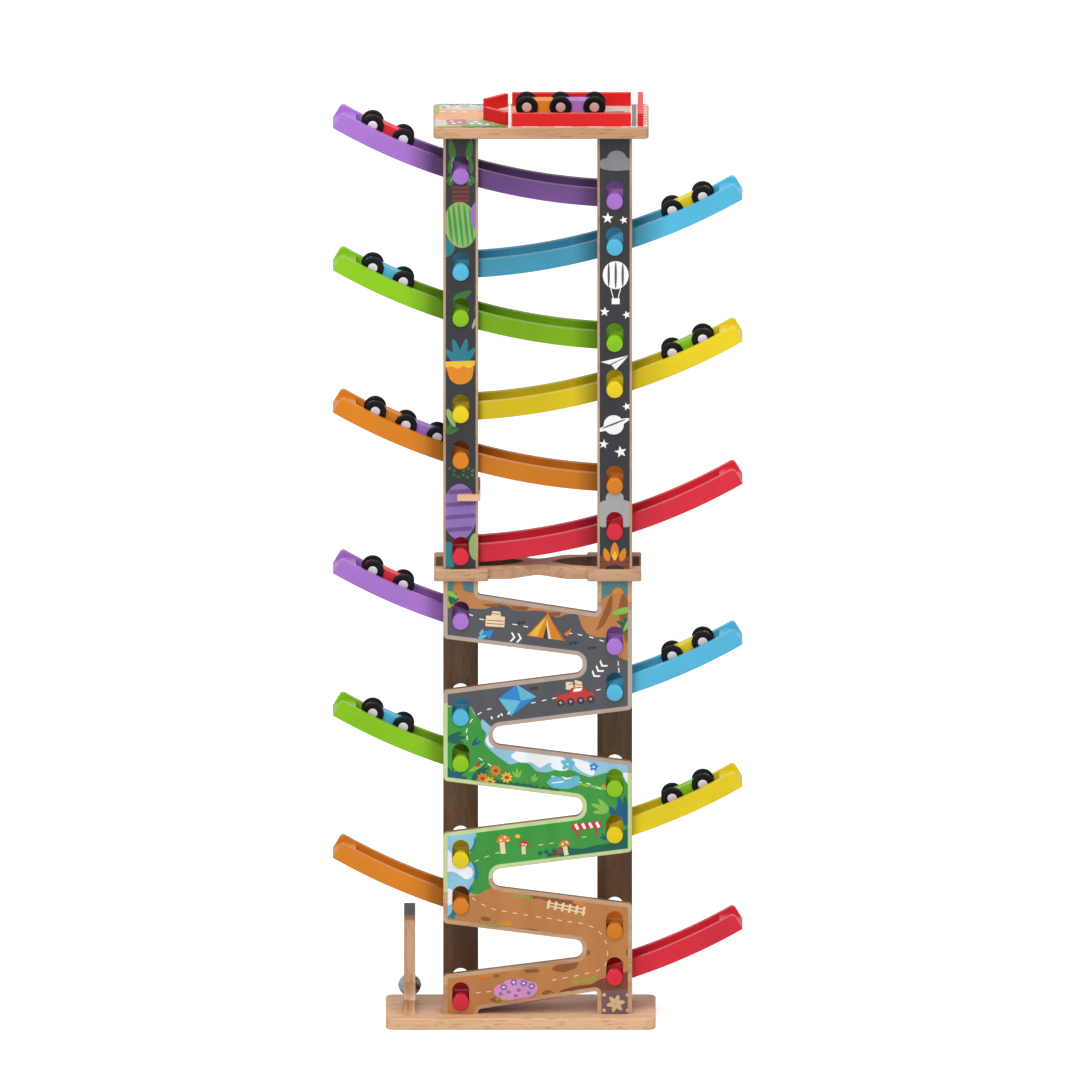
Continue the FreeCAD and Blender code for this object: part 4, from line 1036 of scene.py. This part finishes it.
press("post_print", FRONT_FACE, [
    ("slate", [(both_columns, UPPER_FLOOR, 5)]),
    ("teal", [
        (disc, -92, 806, 9, 10),
        (patch, ((-95, 474), (-84, 474), (-82, 490), (-86, 500), (-95, 502)), 2),
        (frond, -77, 684, 33, 92, 4, 28),
        (frond, -77, 682, 22, 90, 2, 130)]),
    # dark leaves, long under the deck and smaller further down
    ("fern", [
        *many(leaf, (-89, 868, 22, 7.5, 66), (-88, 880, 26, 7.5, 80), (-84, 894, 26, 7.5, 98),
            (-66, 868, 22, 7.5, 114), (-66, 880, 26, 7.5, 100), (-70, 894, 26, 7.5, 82),
            (-92, 872, 16, 7.5, 40), (-62, 872, 16, 7.5, 140)),
        (leaf, -86, 750, 24, 9, 28),
        (leaf, -62, 736, 22, 7, 74),
        (frond, -92, 612, 20, 60, 3, 34),
        *[(disc, -88 + place * 4.6, 577 - 2.4 * (place % 2), 1.9, 1.4, 30) for place in range(6)],
        *[(disc, -84 + place * 4.6, 570 - 2 * (place % 2), 1.7, 1.3, -30) for place in range(5)]]),
    # light leaves over the dark ones, and a melon with its stripes
    ("leafy", [
        *many(leaf, (-91, 640, 24, 7, 292), (-95, 636, 20, 5, 260), (-60, 735, 16, 4, 248),
            (-88, 872, 15, 1.8, 66), (-86, 886, 15, 1.8, 84), (-67, 872, 15, 1.8, 114),
            (-69, 886, 15, 1.8, 96)),
        *many(disc, (-77, 829, 16.5, 24, 6), (-62, 496, 7, 14))]),
    ("grass", many(disc, (-87.5, 829, 1.5, 18, 6), (-82.4, 829, 1.5, 22, 6), (-77, 829, 1.5, 23.4, 6),
        (-71.6, 829, 1.5, 22, 6), (-66.5, 829, 1.5, 18, 6))),
    # a banded ball, and bars below the leaves
    ("lilac", many(disc, (-78, 532, 17, 29), (-60, 838, 7.5, 15))),
    ("plum", alike(strip, (4.4, 5), (-78, 553, 22), (-78, 540, 31), (-78, 527, 32), (-78, 514, 25))),
    ("brick", [(strip, -77, v, 17, 3) for v in (854, 858.6, 863.2, 867.8)]),
    # a campfire between two stones, and a flower pot with a scalloped rim
    ("rust", [
        *many(strip, (77, 480, 32, 5, 14), (77, 480, 32, 5, -14)),
        *alike(disc, (5, 3.4), (64, 476), (90, 476))]),
    ("amber", [
        (patch, ((-15, 6), (14, 6), (11, -9), (4, -14), (-5, -14), (-11, -9)), 3, (-77, 678), 2),
        *many(leaf, (77, 481, 21, 9, 90), (71, 480, 16, 7, 106), (83, 480, 16, 7, 74))]),
    ("sun", [
        (patch, ((-16, 8), (15, 8), (14, 3), (8, 0), (3, 3), (-3, 0), (-9, 3), (-15, 2)), 1, (-77, 680), 2),
        (leaf, 77, 481, 11, 4.6, 90)]),
    # cloud and smoke
    ("ash", many(disc, (69, 892, 8, 6), (79, 897, 10, 9), (89, 892, 7, 6.4), (79, 889, 15, 4))),
    ("stone", many(disc, (77, 546, 9, 8), (69, 536, 9, 8), (86, 536, 9, 8), (66, 524, 8, 8), (88, 524, 8, 8),
        (77, 532, 10, 9))),
    # a balloon, a paper plane, a ringed planet and stars, then the seams and the gap of the ring
    ("white", [
        (disc, 78, 777, 13, 14.5),
        *many(strip, (78, 750, 8, 6), (74.4, 758, 0.9, 11, 14), (81.6, 758, 0.9, 11, -14)),
        (patch, ((-14, 0), (14, 7), (-5, -2.4)), 0.3, (77, 687)),
        (patch, ((-3.4, -3), (13.4, 6), (1, -8)), 0.3, (77, 687)),
        (disc, 76, 622, 10),
        (disc, 76, 622, 17, 3.2, 22),
        *many(star, (70, 836, 6), (86, 834, 4.4), (67, 739, 5), (89, 736, 4.4), (89, 641, 4.4), (66, 602, 5),
            (83, 594, 6.4))]),
    ("charcoal", many(disc, (71, 777, 1.2, 12), (78, 777, 1.2, 14), (85, 777, 1.2, 12),
        (76, 623, 13, 0.9, 22))),
], stencil_from(drawing(both_columns, UPPER_FLOOR, 0.5, POST_RIM), FRONT_FACE, UPPER_FLOOR))


# Print of the deck

press("deck_print", DECK_FACE, [
    ("peach", [(patch, ((-108, -50), (115, -50), (115, 50), (-108, 50)))]),
    # pale patches along the rear edge and in the front corner
    ("haze", [
        (patch, ((-104, 46), (-30, 46), (-30, 24), (-60, 20), (-104, 26)), 3),
        (patch, ((-104, -14), (-92, -18), (-88, -34), (-104, -40)), 2),
        (patch, ((40, 44), (92, 44), (92, -20), (70, -24), (60, 20)), 3)]),
    # lawns, flower beds and bushes
    ("leafy", [
        (patch, ((-104, 4), (-99, 6), (-98, 40), (-104, 46)), 1),
        (patch, ((-70, -20), (-46, -16), (-30, -22), (-30, -46), (-104, -46), (-98, -40), (-76, -38)), 3)]),
    ("mist", many(disc, (-88, 40, 5.5, 2.6), (-72, 36, 5.5, 2.6, 20), (-56, 41, 5.5, 2.6, 40),
        (-42, 36, 5.5, 2.6, 60), (-34, 40, 5.5, 2.6, 80), (-94, 32, 5.5, 2.6, 100), (-64, -26, 7, 6),
        (-54, -34, 6, 5))),
    ("brick_rose", [
        (patch, ((-92, -16), (-72, -14), (-70, -34), (-90, -36)), 3),
        (patch, ((92, -4), (58, -8), (58, 12), (92, 14)), 2)]),
    ("fern", [
        *[(disc, -74 + place * 4, -42 + 1.6 * math.sin(place * 2.3), 2.6, 1.8) for place in range(12)],
        *[(disc, -97 + place * 5.4, 44 + math.sin(place * 1.7), 2.6, 1.4) for place in range(12)]]),
    # kerbs, parking bays and broken lines
    ("blush", many(strip, (38, -44.6, 132, 4.0), (38, 44.6, 132, 4.0))),
    ("ash", [(strip, 96.2, 0, 4.4, 92), (patch, ((86, 2), (62, -2), (62, 14), (86, 18)), 2)]),
    ("white", [
        (dashes, (-100, 16), (-36, 12), 6, 1.4),
        (dashes, (-24, -44.6), (108, -44.6), 4, 4.0),
        (dashes, (-24, 44.6), (108, 44.6), 4, 4.0),
        *many(strip, (-28, 0, 2.6, 92), (93.3, 0, 1.6, 92), (99.1, 0, 1.6, 92)),
        *[(strip, 107.6, -38 + place * 9.5, 5, 3.4) for place in range(9)]]),
    ("cloud", alike(disc, (2.2, 1.7), (-86, -22), (-78, -26), (-84, -30), (-62, -24), (-58, -30), (-66, -30),
        (-50, -34), (-44, -26), (-90, 38), (-80, 34), (-66, 40), (-50, 38), (-38, 34))),
], stencil_from(drawing(patch, ((-102.6, -46.0), (109.6, -46.0), (109.6, 46.0), (-102.6, 46.0)), 4),
                DECK_FACE))


# Floor, lamps and camera, with places and sizes in metres

def pale_floor():
    """White paper: it keeps the soft shadow of the tower and runs out to plain white."""
    finish, tree, shader, _ = new_finish("white_paper")
    tree.nodes.remove(shader)
    paper = add(tree, "BsdfDiffuse", {"Color": (0.86, 0.86, 0.86, 1)})
    rays = add(tree, "LightPath")
    glow = add(tree, "Emission", {"Color": (1, 1, 1, 1), "Strength": 0.62})
    none = add(tree, "Emission", {"Color": (0, 0, 0, 1), "Strength": 0.0})
    lift = add(tree, "MixShader", {0: rays.outputs["Is Camera Ray"], 1: none.outputs["Emission"],
                                   2: glow.outputs["Emission"]})
    both = add(tree, "AddShader", {0: paper.outputs["BSDF"], 1: lift.outputs["Shader"]})
    out = next(node for node in tree.nodes if node.type == "OUTPUT_MATERIAL")
    tree.links.new(both.outputs["Shader"], out.inputs["Surface"])
    bm = bmesh.new()
    bmesh.ops.create_grid(bm, x_segments=1, y_segments=1, size=4.0)
    # a hair below the base board, so that the two faces don't flicker
    bmesh.ops.translate(bm, verts=bm.verts, vec=(0, 0, -0.0002))
    show("floor", bm, [finish], None)


def daylight():
    """Even white surroundings, seen as white by the camera and in the metal."""
    world = bpy.data.worlds.new("studio")
    bpy.context.scene.world = world
    world.use_nodes = True
    tree = world.node_tree
    tree.nodes.clear()
    rays = add(tree, "LightPath")
    seen = add(tree, "Math", {0: rays.outputs["Is Camera Ray"], 1: rays.outputs["Is Glossy Ray"]},
               operation="MAXIMUM")
    shown = add(tree, "Background", {"Color": (1, 1, 1, 1), "Strength": 1.0})
    light = add(tree, "Background", {"Color": (1, 1, 1, 1), "Strength": 0.50})
    joined = add(tree, "MixShader", {0: seen.outputs["Value"], 1: light.outputs["Background"],
                                     2: shown.outputs["Background"]})
    add(tree, "OutputWorld", {"Surface": joined.outputs["Shader"]})


def softbox(name, place, target, size, power):
    """A square lamp that faces a point."""
    lamp = bpy.data.lights.new(name, "AREA")
    lamp.shape = "SQUARE"
    lamp.size = size
    lamp.energy = power
    holder = bpy.data.objects.new(name, lamp)
    holder.location = place
    holder.rotation_euler = (Vector(target) - Vector(place)).to_track_quat("-Z", "Y").to_euler()
    bpy.context.scene.collection.objects.link(holder)


pale_floor()
daylight()
softbox("front_softbox", (-1.0, -2.6, 2.6), (0, 0, 0.45), 1.8, 46)
softbox("overhead_softbox", (0.4, -1.0, 3.3), (0, 0, 0.5), 1.6, 42)

# The picture is 1.08 m across and looks down on the tower by 15 degrees
camera = bpy.data.objects.new("camera", bpy.data.cameras.new("camera"))
camera.data.type = "ORTHO"
camera.data.ortho_scale = 1.08
camera.location = (0.0023, -2.774, 1.238)
camera.rotation_euler = (math.radians(90 - 15), 0, 0)
bpy.context.scene.collection.objects.link(camera)
bpy.context.scene.camera = camera
bpy.context.scene.view_settings.view_transform = "Standard"
